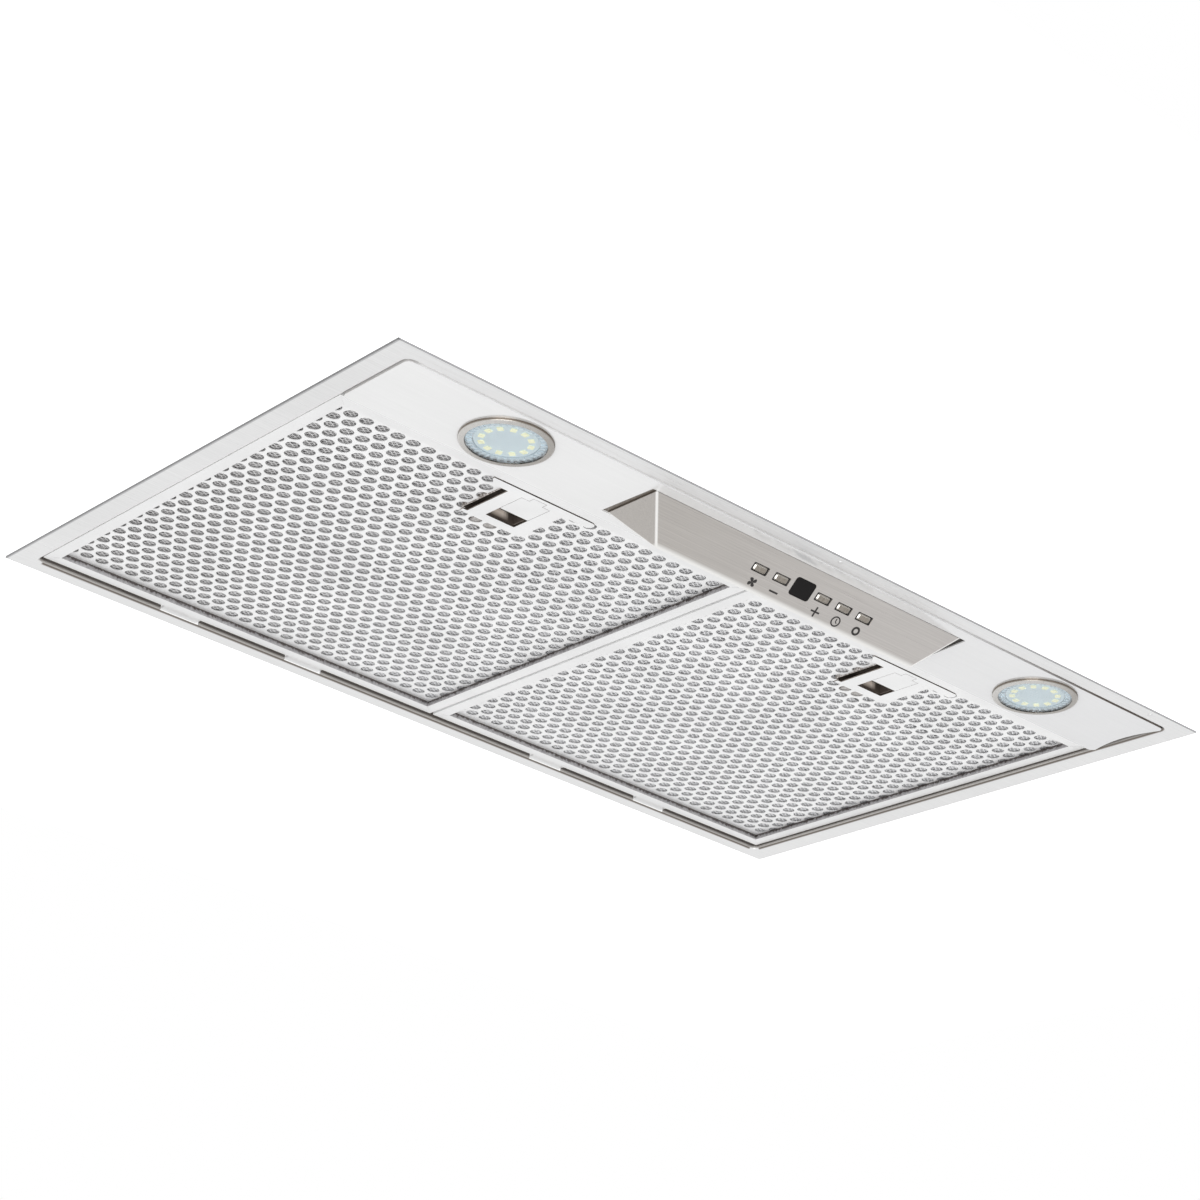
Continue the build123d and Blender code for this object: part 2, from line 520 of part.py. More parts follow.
def make_control_board():
    """Circuit board behind the keys."""
    body = on_face(CARRIER_MID, KEY_ROW, BOARD_DEPTH, CARRIER_LENGTH, CARRIER_WIDTH, BOARD_SHEET)
    for x in BOARD_POSTS:
        body -= face_pin(x, KEY_ROW, BOARD_DEPTH - 1, BOARD_DEPTH + BOARD_SHEET + 1, 1.2)
    return body


def make_display():
    """Dark display window with its module down to the board."""
    window = on_face(DISPLAY_X, KEY_ROW, 0.15, DISPLAY_LENGTH - 0.3, DISPLAY_HEIGHT - 0.3,
                     CONTROL_SHEET + CARRIER_DEPTH, DISPLAY_CORNER - 0.15)
    module = on_face(DISPLAY_X, KEY_ROW, CONTROL_SHEET + CARRIER_DEPTH + 0.15, DISPLAY_LENGTH - 2,
                     DISPLAY_HEIGHT - 1, BOARD_DEPTH - CONTROL_SHEET - CARRIER_DEPTH - 0.15)
    return window + module


def make_key(x):
    """Push key: bevelled cap in its window, retaining lip behind the carrier and a stem."""
    cap = on_face(x, KEY_V, KEY_RECESS, KEY_LENGTH, KEY_HEIGHT, KEY_LIP_DEPTH - KEY_RECESS + 0.2,
                  KEY_CORNER)
    front = cap.faces().sort_by(Axis((0, 0, 0), FACE_PLANE.z_dir))[-1]
    cap = chamfer(front.edges(), KEY_BEVEL)
    lip = on_face(x, KEY_V, KEY_LIP_DEPTH, KEY_LENGTH + 2.4, KEY_HEIGHT + 2.4, KEY_LIP)
    stem = face_pin(x, KEY_V, KEY_LIP_DEPTH, KEY_STEM_DEPTH, 1.5)
    return cap + lip + stem


def make_switches():
    """One low switch on the board under each key."""
    return group(*[
        on_face(x, KEY_V, SWITCH_DEPTH, SWITCH_SIZE, SWITCH_SIZE, SWITCH_HEIGHT)
        for x in KEY_XS.values()
    ])


def make_control_screws():
    """Two screws that hold the board to the carrier."""
    back = BOARD_DEPTH + BOARD_SHEET
    screws = []
    for x in BOARD_POSTS:
        head = face_pin(x, KEY_ROW, back, back + 1.6, 2.2)
        screws.append(head + face_pin(x, KEY_ROW, BOARD_DEPTH - 3.5, back, 1.05))
    return group(*screws)


# ---------------------------------------------------------------- lamps
def make_bezel(x):
    """Brushed ring that stands proud of the strip, with a collar up through its hole."""
    z0 = Z_UNDER - BEZEL_PROUD
    ring = disc(x, LAMP_Y, z0, Z_UNDER, BEZEL_RADIUS)
    ring = fillet(ring.faces().sort_by(Axis.Z)[0].edges(), 1.3)
    collar = disc(x, LAMP_Y, Z_UNDER, STRIP_TOP + 7, LAMP_FACE_RADIUS + LAMP_CLEARANCE + BEZEL_WALL)
    lip = disc(x, LAMP_Y, z0 - 1, LENS_Z, LAMP_FACE_RADIUS - BEZEL_LIP)
    bore = disc(x, LAMP_Y, LENS_Z, STRIP_TOP + 8, LAMP_FACE_RADIUS + LAMP_CLEARANCE)
    return ring + collar - bore - lip


def make_lens(x):
    """Clear front glass of the lamp, dished at its rim."""
    plate = disc(x, LAMP_Y, LENS_Z, LENS_Z + LENS_SHEET, LAMP_FACE_RADIUS)
    rim = disc(x, LAMP_Y, LENS_Z, LAMP_BODY_Z - 0.2, LAMP_FACE_RADIUS)
    return plate + (rim - disc(x, LAMP_Y, LENS_Z, LAMP_BODY_Z, LAMP_FACE_RADIUS - 1.6))


def make_lamp_board(x):
    """Round board that carries the light chips."""
    return disc(x, LAMP_Y, LAMP_BOARD_Z, LAMP_BODY_Z, LAMP_BOARD_RADIUS)


def make_chips(x):
    """Ring of light chips under the lamp board."""
    chips = []
    for index in range(CHIP_COUNT):
        turn = 360.0 / CHIP_COUNT * index + 8.0
        chip = Pos(x, LAMP_Y, LAMP_BOARD_Z - 0.3) * Rot(0, 0, turn) * Pos(CHIP_CIRCLE, 0, 0)
        chips.append(chip * Box(CHIP_SIZE, CHIP_SIZE, 0.6))
    return group(*chips)


def make_lamp_body(x):
    """Finned heat sink and neck of the lamp."""
    z0, z1 = LAMP_BODY_Z, LAMP_BODY_Z + LAMP_BODY_HEIGHT
    body = disc(x, LAMP_Y, z0, z0 + 4, LAMP_FACE_RADIUS)
    cone = Pos(x, LAMP_Y, (z0 + 4 + z1) / 2) * Cone(
        LAMP_FACE_RADIUS - 0.5, LAMP_NECK_RADIUS + 3, z1 - z0 - 4)
    for index in range(18):
        slot = Pos(x, LAMP_Y, (z0 + 6 + z1) / 2) * Rot(0, 0, index * 20.0)
        cone -= slot * Pos(LAMP_FACE_RADIUS - 3, 0, 0) * Box(12.0, 2.0, z1 - z0 - 6)
    neck = disc(x, LAMP_Y, z1, z1 + LAMP_NECK_HEIGHT, LAMP_NECK_RADIUS)
    pins = disc(x - 5, LAMP_Y, z1, z1 + LAMP_NECK_HEIGHT + 6, 1.5)
    pins += disc(x + 5, LAMP_Y, z1, z1 + LAMP_NECK_HEIGHT + 6, 1.5)
    return body + cone + neck + pins


def make_socket(x):
    """Ceramic lamp holder on the lamp's pins."""
    z0 = LAMP_BODY_Z + LAMP_BODY_HEIGHT + LAMP_NECK_HEIGHT
    body = disc(x, LAMP_Y, z0, z0 + SOCKET_HEIGHT, SOCKET_RADIUS)
    body = fillet(body.faces().sort_by(Axis.Z)[-1].edges(), 1.5)
    for dx in (-5, 5):
        body -= disc(x + dx, LAMP_Y, z0 - 1, z0 + 8, 1.8)
    return body


# ---------------------------------------------------------------- filters
def filter_ends(side):
    """Left and right edges of one filter."""
    return side * FILTER_X - FILTER_LENGTH / 2, side * FILTER_X + FILTER_LENGTH / 2


def make_filter_frame(side):
    """Folded aluminium rim with two rear tabs and a slot for the latch tongue."""
    x0, x1 = filter_ends(side)
    y0, y1 = FILTER_FRONT, FILTER_REAR
    z0, z1, t = FILTER_Z, FILTER_TOP, FRAME_SHEET
    inset = FRAME_MEMBER - t
    rim = frame_ring(x0, x1, y0, y1, t, z0, z1)
    rim = fillet(rim.edges().filter_by(Axis.Z).group_by(
        lambda edge: min(abs(edge.center().X - x0), abs(edge.center().X - x1)))[0], t * 0.9)
    rim += frame_ring(x0 + t / 2, x1 - t / 2, y0 + t / 2, y1 - t / 2, FRAME_MEMBER - t / 2, z0, z0 + t)
    rim += frame_ring(x0 + inset, x1 - inset, y0 + inset, y1 - inset, t, z0, FACE_Z - 0.05)
    rim += frame_ring(x0 + t / 2, x1 - t / 2, y0 + t / 2, y1 - t / 2, FRAME_MEMBER - t / 2, z1 - t, z1)
    for offset_x in (-TAB_SPACING / 2, TAB_SPACING / 2):
        x = side * FILTER_X + offset_x
        rim += block(x - TAB_WIDTH / 2, x + TAB_WIDTH / 2, y1 - t / 2, HINGE_Y + TAB_BEYOND,
                     TAB_Z, TAB_Z + TAB_SHEET)
    x = side * FILTER_X
    half = TONGUE_WIDTH / 2 + 0.5
    rim -= block(x - half, x + half, y0 - 1, y0 + FRAME_MEMBER + 1,
                 TONGUE_Z - FIT_GAP, TONGUE_Z + TONGUE_SHEET + FIT_GAP)
    groove = Box(FRAME_MEMBER * sqrt(2) * 0.86, 0.25, 0.3)
    for corner_x, sx in ((x0, 1), (x1, -1)):
        for corner_y, sy in ((y0, 1), (y1, -1)):
            spot = Pos(corner_x + sx * FRAME_MEMBER / 2, corner_y + sy * FRAME_MEMBER / 2, z0)
            rim -= spot * Rot(0, 0, 45 * sx * sy) * groove
    return rim


def latch_cut(side):
    """Plan rectangle of the perforated face that the latch pan passes through."""
    x = side * FILTER_X
    y0 = FILTER_FRONT
    return (x - LATCH_HALF_WIDTH - LATCH_SIDE_SLOT, x + LATCH_HALF_WIDTH - 1.6,
            y0 + LATCH_STEP + 0.4, y0 + LATCH_REAR + 1.0)


def hole_centres(side):
    """Staggered hole places of one filter face: whole ones, and those that the latch's opening cuts."""
    x0, x1 = filter_ends(side)
    row_step = HOLE_PITCH * sqrt(3) / 2
    reach = HOLE_RADIUS + 0.6
    cut_x0, cut_x1, cut_y0, cut_y1 = latch_cut(side)
    places, partial = [], []
    for row in range(HOLE_ROW_COUNT):
        y = FILTER_FRONT + HOLE_START_Y + row * row_step
        x = x0 + HOLE_START_X - (row % 2) * HOLE_PITCH / 2
        while x < x1 - FRAME_MEMBER + 1.0:
            gap_x = max(cut_x0 - x, x - cut_x1, 0)
            gap_y = max(cut_y0 - y, y - cut_y1, 0)
            inside = x > x0 + FRAME_MEMBER / 2 + 0.5 and y < FILTER_REAR - FRAME_MEMBER
            if inside and hypot(gap_x, gap_y) > reach:
                places.append((x, y))
            elif inside and x < cut_x0 + 1 and cut_y0 + HOLE_RADIUS < y < cut_y1:
                partial.append((x, y))
            x += HOLE_PITCH
    return places, partial


def outline_wire(x0, x1, y0, y1, z):
    """Closed rectangle at a height."""
    return Wire.make_polygon([(x0, y0, z), (x1, y0, z), (x1, y1, z), (x0, y1, z)], close=True)


def make_filter_face(side):
    """Perforated face sheet."""
    x0, x1 = filter_ends(side)
    edge = FRAME_SHEET + FIT_GAP
    y0, y1 = FILTER_FRONT + edge, FILTER_REAR - edge
    places, partial = hole_centres(side)
    holes = [Wire.make_circle(HOLE_RADIUS, Plane(origin=(x, y, FACE_Z))) for x, y in places]
    holes.append(outline_wire(*latch_cut(side), FACE_Z))
    face = Face(outline_wire(x0 + edge, x1 - edge, y0, y1, FACE_Z), holes)
    sheet = Solid.extrude(face, Vector(0, 0, FACE_SHEET))
    for x, y in partial:
        sheet -= disc(x, y, FACE_Z - 1, FACE_Z + 2, HOLE_RADIUS)
    return sheet


def pan_sides(side):
    """Left and right faces of the latch pan."""
    x = side * FILTER_X
    return x - LATCH_HALF_WIDTH - LATCH_SIDE_SLOT + 0.4, x + LATCH_HALF_WIDTH - 2.0


def make_filter_mesh(side):
    """Layers of the mesh pack behind the perforated face, cut away for the latch pan."""
    x0, x1 = filter_ends(side)
    edge = FRAME_SHEET + FIT_GAP
    x = side * FILTER_X
    layers = []
    for index in range(MESH_LAYERS):
        z = MESH_Z + index * MESH_SPACING
        layer = block(x0 + edge, x1 - edge, FILTER_FRONT + edge, FILTER_REAR - edge, z, z + MESH_SHEET)
        px0, px1 = pan_sides(side)
        layer -= block(px0 - MESH_GAP, px1 + MESH_GAP, FILTER_FRONT + LATCH_STEP,
                       FILTER_FRONT + LATCH_REAR + MESH_GAP, z - 1, z + 1)
        layer -= block(x - SPRING_HALF - MESH_GAP, x + SPRING_HALF + MESH_GAP,
                       FILTER_FRONT + LATCH_STEP, PAN_REAR + MESH_GAP, z - 1, z + 1)
        layers.append(layer)
    return group(*layers)


def make_latch_housing(side):
    """T-shaped latch plate with its finger window, and the pan behind it."""
    x, y, z, t = side * FILTER_X, FILTER_FRONT, LATCH_Z, LATCH_SHEET
    half = LATCH_HALF_WIDTH
    plate = block(x - half, x + half, y + LATCH_STEP - 1, y + LATCH_REAR, z, z + t)
    foot = block(x - LATCH_FOOT_LEFT, x + LATCH_FOOT_RIGHT, y + LATCH_FRONT, y + LATCH_STEP, z, z + t)
    foot = fillet(foot.edges().filter_by(Axis.Z).sort_by(Axis.X)[-2:], (LATCH_STEP - LATCH_FRONT) * 0.45)
    foot = chamfer(foot.edges().filter_by(Axis.Z).sort_by(Axis.X)[:2].sort_by(Axis.Y)[-1:], 5.0, 6.0)
    legs = block(x - LATCH_FOOT_LEFT + 8, x - half - 4, y + LATCH_FRONT + 1.5, y + LATCH_FRONT + 2.3,
                 z + t, FACE_Z - 0.05)
    legs += block(x + half + 3, x + LATCH_FOOT_RIGHT - 6, y + LATCH_FRONT + 1.5, y + LATCH_FRONT + 2.3,
                  z + t, FACE_Z - 0.05)
    # The pan: floorless box over the window, open on the left below the perforated face.
    px0, px1 = pan_sides(side)
    py0, py1 = y + LATCH_STEP + 0.8, PAN_REAR
    split_y = y + LATCH_REAR
    pan = block(px0, px1, py0, split_y, z + t, PAN_TOP)
    narrow = SPRING_HALF
    pan += block(x - narrow, x + narrow, split_y - 2, py1, MESH_Z - 0.2, PAN_TOP)
    inside = block(px0 + t, px1 - t, py0 + t, split_y - t, z + t - 0.1, PAN_TOP - t)
    inside += block(x - narrow + t, x + narrow - t, split_y - 3, py1 - t, MESH_Z - 0.2 + t, PAN_TOP - t)
    inside += block(px0 - 1, px0 + t + 1, py0 + t, split_y - t, z + t, FACE_Z)
    pan -= inside
    pan -= block(x - half - LATCH_SIDE_SLOT - 1, x - half, py0 - 1, split_y + 1, z, FACE_Z)
    ledge = block(x - half, px1, split_y - t, split_y, z + t - 0.1, FACE_Z + 1)
    slot_end = block(x - half - LATCH_SIDE_SLOT - 0.6, x - half + 1, y + LATCH_SLOT_REAR, split_y, z, z + t)
    body = plate + foot + legs + pan + ledge + slot_end
    hw = WINDOW_WIDTH / 2
    neck = SLIDER_NECK / 2
    body -= block(x - hw, x + hw, y + LATCH_STEP, y + WINDOW_REAR, z - 1, z + t + 0.05)
    body -= block(x - neck, x + neck, y + LATCH_STEP - SLIDER_NECK_REACH, y + LATCH_STEP + 1,
                  z - 1, z + t + 0.05)
    th = TONGUE_WIDTH / 2 + 0.5
    body -= block(x - th, x + th, y, y + LATCH_STEP + 3,
                  TONGUE_Z - FIT_GAP, TONGUE_Z + TONGUE_SHEET + FIT_GAP)
    return body


def make_latch_slider(side):
    """Sliding latch: flush panel, side rails, pull wall behind the window, and the tongue."""
    x, y, z, t, c = side * FILTER_X, FILTER_FRONT, LATCH_Z, LATCH_SHEET, SLIDER_CLEARANCE
    hw, neck = WINDOW_WIDTH / 2 - c, SLIDER_NECK / 2 - c
    front, back = y + LATCH_STEP + c, y + WINDOW_FRONT
    panel = block(x - hw, x + hw, front, back, z, z + t)
    panel += block(x - neck, x + neck, front - SLIDER_NECK_REACH, front + 1, z, z + t)
    rail_top = PAN_TOP - LATCH_SHEET - FIT_GAP
    pull = y + WINDOW_REAR - 0.6
    rail_foot = z + t + FIT_GAP
    rails = []
    for x0 in (x - hw, x + hw - 1.2):
        rails.append(block(x0, x0 + 1.2, front + 2.0, pull, rail_foot, rail_top))
        rails.append(block(x0, x0 + 1.2, front + 2.0, back, z + t - 0.1, rail_foot + 0.1))
    wall = block(x - hw, x + hw, pull, pull + 1.2, rail_foot, rail_top)
    step = block(x - hw, x + 3, back - 0.6, back + 4.6, z + t + 2.2, z + t + 3.2)
    step += block(x - hw, x + 3, back - 0.6, back + 0.4, z + t - 0.1, z + t + 3.2)
    tongue = block(x - TONGUE_WIDTH / 2, x + TONGUE_WIDTH / 2, STRIP_REAR + KEEPER_GAP, front + 6,
                   TONGUE_Z, TONGUE_Z + TONGUE_SHEET)
    web = block(x - TONGUE_WIDTH / 2, x + TONGUE_WIDTH / 2, front + 2, front + 6,
                z + t - 0.1, TONGUE_Z + 0.1)
    return panel + rails + [wall, step, tongue, web]


def make_latch_spring(side):
    """Coil spring between the slider's pull wall and the end of the pan."""
    z = PAN_TOP - LATCH_SHEET - FIT_GAP - SPRING_RADIUS - SPRING_WIRE - 0.1
    start = FILTER_FRONT + WINDOW_REAR + 0.6 + SPRING_WIRE + 0.05
    end = PAN_REAR - LATCH_SHEET - SPRING_WIRE - 0.05
    coil = Helix((end - start) / SPRING_TURNS, end - start, SPRING_RADIUS)
    wire = sweep(Plane(origin=coil @ 0, z_dir=coil % 0) * Circle(SPRING_WIRE), path=coil, is_frenet=True)
    return Pos(side * FILTER_X, start, z) * Rot(-90, 0, 0) * wire


# ---------------------------------------------------------------- blower
def make_blower_box():
    """Box over the suction opening, hemmed outwards onto the roof."""
    x1, t = BOX_LENGTH / 2, BOX_SHEET
    body = block(-x1, x1, BOX_Y0, BOX_Y1, ROOF_TOP, BOX_TOP)
    body = fillet(body.edges().filter_by(Axis.Z), 3.0)
    hem = block(-x1 - BOX_HEM, x1 + BOX_HEM, BOX_Y0 - BOX_HEM, BOX_Y1 + BOX_HEM, ROOF_TOP, ROOF_TOP + t)
    body += hem
    body -= block(-x1 + t, x1 - t, BOX_Y0 + t, BOX_Y1 - t, ROOF_TOP, BOX_TOP - t)
    body -= disc(0, COLLAR_Y, BOX_TOP - 3, BOX_TOP + 1, COLLAR_INNER)
    for hole in screw_holes(BOX_SCREWS, ROOF_TOP - 1, ROOF_TOP + 3) + screw_holes(
            COLLAR_SCREWS, BOX_TOP - 3, BOX_TOP + 1):
        body -= hole
    return body


COLLAR_SCREWS = [
    ((COLLAR_RADIUS + 8.5) * cos(radians(a)), COLLAR_Y + (COLLAR_RADIUS + 8.5) * sin(radians(a)))
    for a in (45, 135, 225, 315)
]


def scroll_profile(wall):
    """Side profile of the scroll in (Y, Z), grown outwards by a wall."""
    steps = 40
    points = []
    for index in range(steps + 1):
        angle = SCROLL_TONGUE + (360 - SCROLL_TONGUE) * index / steps
        radius = scroll_radius(angle) + wall
        points.append((SCROLL_Y + radius * cos(radians(angle)), SCROLL_Z + radius * sin(radians(angle))))
    top = BOX_TOP - BOX_SHEET
    spiral = Spline(*points)
    first, last = points[0], points[-1]
    return make_face([
        spiral,
        Line(last, (last[0], top)),
        Line((last[0], top), (first[0], top)),
        Line((first[0], top), first),
    ])


def make_scroll():
    """Whole scroll casing: spiral wall, two cheeks with inlet eyes, and the outlet's flange."""
    half, t = SCROLL_HALF_WIDTH, SCROLL_WALL
    outer = extrude(Plane.YZ * scroll_profile(t), half + t, both=True)
    # The outer outlet wall on the tongue's side is moved out by one wall.
    top = BOX_TOP - BOX_SHEET
    y_in = SCROLL_Y + scroll_radius(SCROLL_TONGUE) * cos(radians(SCROLL_TONGUE))
    y_out = SCROLL_Y + scroll_radius(360)
    z_tongue = SCROLL_Z + scroll_radius(SCROLL_TONGUE) * sin(radians(SCROLL_TONGUE))
    outer += block(-half - t, half + t, y_in - t, y_in + t, z_tongue - 1, top)
    cavity = extrude(Plane.YZ * scroll_profile(0.0), half, both=True)
    body = outer - cavity
    body -= block(-half, half, y_in, y_out, top - 5, top + 1)
    body -= rod_x(-half - t - 1, half + t + 1, SCROLL_Y, SCROLL_Z, SCROLL_EYE_RADIUS)
    f = SCROLL_FLANGE
    ring = block(-half - t - f, half + t + f, y_in - t - f, y_out + t + f, top - 2.5, top)
    ring -= block(-half - t / 2, half + t / 2, y_in - t / 2, y_out + t / 2, top - 3, top + 1)
    body += ring
    for hole in screw_holes(COLLAR_SCREWS, top - 4, top + 1):
        body -= hole
    return body


def half_of(shape, side):
    """The part of a shape on one side of the mid-plane."""
    x0, x1 = sorted((0.0, side * BOX_LENGTH))
    return shape & block(x0, x1, -FLANGE_WIDTH, FLANGE_WIDTH, -10, 2 * BOX_TOP)


def make_impeller():
    """Double-inlet wheel: centre disc, blades, end rings and a hub."""
    half, r1 = IMPELLER_WIDTH / 2, IMPELLER_RADIUS
    r0 = r1 - BLADE_CHORD
    wheel = rod_x(-1.0, 1.0, 0, 0, r1)
    for side in (-1, 1):
        ends = sorted((side * half, side * (half - END_RING)))
        wheel += rod_x(ends[0], ends[1], 0, 0, r1) - rod_x(ends[0], ends[1], 0, 0, r1 - 5.0)
    mid = (r0 + r1) / 2 - 1.0
    blade = Pos(0, mid, 0) * Rot(BLADE_TILT, 0, 0) * Box(2 * half, BLADE_CHORD, BLADE_SHEET)
    for index in range(BLADE_COUNT):
        wheel += Rot(360.0 / BLADE_COUNT * index, 0, 0) * blade
    wheel += rod_x(-HUB_LENGTH + MOTOR_START - 2, MOTOR_START - 2, 0, 0, HUB_RADIUS)
    wheel -= rod_x(-half, half, 0, 0, SHAFT_RADIUS + SHAFT_CLEARANCE)
    return Pos(0, SCROLL_Y, SCROLL_Z) * wheel


MOTOR_END = SCROLL_HALF_WIDTH + SCROLL_WALL
MOTOR_SCREW_ANGLES = (30.0, 150.0, 270.0)


def make_motor():
    """Motor inside the right inlet, with a bore for its shaft."""
    x0, x1 = MOTOR_START, MOTOR_END
    body = rod_x(x0, x1, SCROLL_Y, SCROLL_Z, MOTOR_RADIUS)
    body = fillet(body.faces().sort_by(Axis.X)[0].edges(), 5.0)
    for index in range(12):
        slot = Pos((x0 + x1) / 2, SCROLL_Y, SCROLL_Z) * Rot(index * 30.0, 0, 0)
        body -= slot * Pos(0, MOTOR_RADIUS, 0) * Box((x1 - x0) * 0.55, 3.0, 4.0)
    body -= rod_x(x0 - 1, x0 + 22, SCROLL_Y, SCROLL_Z, SHAFT_RADIUS + SHAFT_CLEARANCE)
    return body


def make_shaft():
    """Motor shaft through the wheel's hub."""
    return rod_x(-HUB_LENGTH + MOTOR_START - 5, MOTOR_START + 20, SCROLL_Y, SCROLL_Z, SHAFT_RADIUS)


def bracket_spot(angle, radius):
    """Place in (Y, Z) on the motor bracket."""
    return SCROLL_Y + radius * cos(radians(angle)), SCROLL_Z + radius * sin(radians(angle))


def make_motor_bracket():
    """Three-armed plate that carries the motor on the scroll's right cheek."""
    x0, x1 = MOTOR_END, MOTOR_END + BRACKET_SHEET
    plate = rod_x(x0, x1, SCROLL_Y, SCROLL_Z, 26.0)
    for angle in MOTOR_SCREW_ANGLES:
        arm = Pos((x0 + x1) / 2, SCROLL_Y, SCROLL_Z) * Rot(angle, 0, 0)
        reach = SCROLL_EYE_RADIUS + 7
        plate += arm * Pos(0, reach / 2, 0) * Box(x1 - x0, reach, BRACKET_ARM)
    plate -= rod_x(x0 - 1, x1 + 1, SCROLL_Y, SCROLL_Z, 9.0)
    for angle in MOTOR_SCREW_ANGLES:
        y, z = bracket_spot(angle, SCROLL_EYE_RADIUS + 3.5)
        plate -= rod_x(x0 - 1, x1 + 1, y, z, SCREW_RADIUS + SCREW_CLEARANCE)
    return plate


def make_motor_screws():
    """Screws of the motor bracket."""
    x1 = MOTOR_END + BRACKET_SHEET
    screws = []
    for angle in MOTOR_SCREW_ANGLES:
        y, z = bracket_spot(angle, SCROLL_EYE_RADIUS + 3.5)
        head = rod_x(x1, x1 + SCREW_HEAD_HEIGHT, y, z, SCREW_HEAD_RADIUS)
        head = fillet(head.faces().sort_by(Axis.X)[-1].edges(), 0.9)
        screws.append(head + rod_x(MOTOR_END - 3.0, x1, y, z, SCREW_RADIUS))
    return group(*screws)


def motor_screw_cuts():
    """Holes for the bracket screws in the scroll's right cheek."""
    return [
        rod_x(MOTOR_END - 4.0, MOTOR_END + 1, *bracket_spot(angle, SCROLL_EYE_RADIUS + 3.5),
              SCREW_RADIUS + SCREW_CLEARANCE)
        for angle in MOTOR_SCREW_ANGLES
    ]


# ---------------------------------------------------------------- outlet
def make_collar():
    """Round duct collar with its flange and the ledge that stops the flaps."""
    body = disc(0, COLLAR_Y, BOX_TOP, BOX_TOP + COLLAR_HEIGHT, COLLAR_RADIUS)
    body += disc(0, COLLAR_Y, BOX_TOP, BOX_TOP + COLLAR_WALL, COLLAR_RADIUS + COLLAR_FLANGE + 7)
    body -= disc(0, COLLAR_Y, BOX_TOP - 1, BOX_TOP + COLLAR_HEIGHT + 1, COLLAR_INNER)
    ledge = disc(0, COLLAR_Y, STOP_Z, STOP_Z + STOP_SHEET, COLLAR_INNER + 0.5)
    ledge -= disc(0, COLLAR_Y, STOP_Z - 1, STOP_Z + STOP_SHEET + 1, COLLAR_INNER - STOP_WIDTH)
    body += ledge
    body -= rod_x(-COLLAR_RADIUS - 1, COLLAR_RADIUS + 1, COLLAR_Y, FLAP_PIN_Z,
                  FLAP_PIN_RADIUS + FLAP_PIN_CLEARANCE)
    for hole in screw_holes(COLLAR_SCREWS, BOX_TOP - 1, BOX_TOP + 3):
        body -= hole
    return body


def make_flap(side):
    """Half-round flap on the pin: side -1 is the front one, 1 the rear one."""
    radius = COLLAR_INNER - FLAP_EDGE_GAP
    z0, z1 = FLAP_Z, FLAP_Z + FLAP_SHEET
    start = KNUCKLE_RADIUS + 0.6
    plate = disc(0, COLLAR_Y, z0, z1, radius)
    ends = sorted((COLLAR_Y + side * start, COLLAR_Y + side * 2 * radius))
    plate &= block(-radius, radius, ends[0], ends[1], z0 - 1, z1 + 1)
    span = KNUCKLE_LENGTH + KNUCKLE_GAP
    first = -2 * span if side < 0 else -span
    for x0 in (first, first + 2 * span):
        x0 += KNUCKLE_GAP / 2
        x1 = x0 + KNUCKLE_LENGTH
        plate += rod_x(x0, x1, COLLAR_Y, FLAP_PIN_Z, KNUCKLE_RADIUS)
        ys = sorted((COLLAR_Y, COLLAR_Y + side * (start + 1)))
        plate += block(x0, x1, ys[0], ys[1], z0, z1)
        plate -= rod_x(x0 - 0.2, x1 + 0.2, COLLAR_Y, FLAP_PIN_Z, FLAP_PIN_RADIUS + FLAP_PIN_CLEARANCE)
    return plate


def make_damper_pin():
    """Pin across the collar that both flaps turn on."""
    return rod_x(-COLLAR_RADIUS, COLLAR_RADIUS, COLLAR_Y, FLAP_PIN_Z, FLAP_PIN_RADIUS)


# ---------------------------------------------------------------- electrics
def make_terminal_box():
    """Open plastic box for the mains terminals, with a hole for the gland."""
    x0, x1 = TERMINAL_X - TERMINAL_LENGTH / 2, TERMINAL_X + TERMINAL_LENGTH / 2
    y0, y1 = TERMINAL_Y - TERMINAL_WIDTH / 2, TERMINAL_Y + TERMINAL_WIDTH / 2
    t, z1 = TERMINAL_WALL, ROOF_TOP + TERMINAL_HEIGHT
    body = block(x0, x1, y0, y1, ROOF_TOP, z1)
    body = fillet(body.edges().filter_by(Axis.Z), 3.0)
    body -= block(x0 + t, x1 - t, y0 + t, y1 - t, ROOF_TOP + t, z1 + 1)
    body += block(x0 + 12, x1 - 12, y0 + 18, y1 - 18, ROOF_TOP + t, ROOF_TOP + 14)
    body -= rod_x(x0 - 1, x0 + t + 1, TERMINAL_Y, ROOF_TOP + GLAND_HEIGHT, GLAND_RADIUS - 1.5)
    return body


def make_terminal_lid():
    """Lid of the terminal box."""
    x0, x1 = TERMINAL_X - TERMINAL_LENGTH / 2, TERMINAL_X + TERMINAL_LENGTH / 2
    y0, y1 = TERMINAL_Y - TERMINAL_WIDTH / 2, TERMINAL_Y + TERMINAL_WIDTH / 2
    z0 = ROOF_TOP + TERMINAL_HEIGHT
    lid = block(x0, x1, y0, y1, z0, z0 + TERMINAL_WALL)
    lid = fillet(lid.edges().filter_by(Axis.Z), 3.0)
    lid = fillet(lid.faces().sort_by(Axis.Z)[-1].edges(), 0.8)
    t = TERMINAL_WALL + FIT_GAP
    lid += frame_ring(x0 + t, x1 - t, y0 + t, y1 - t, 1.5, z0 - 3, z0)
    return lid


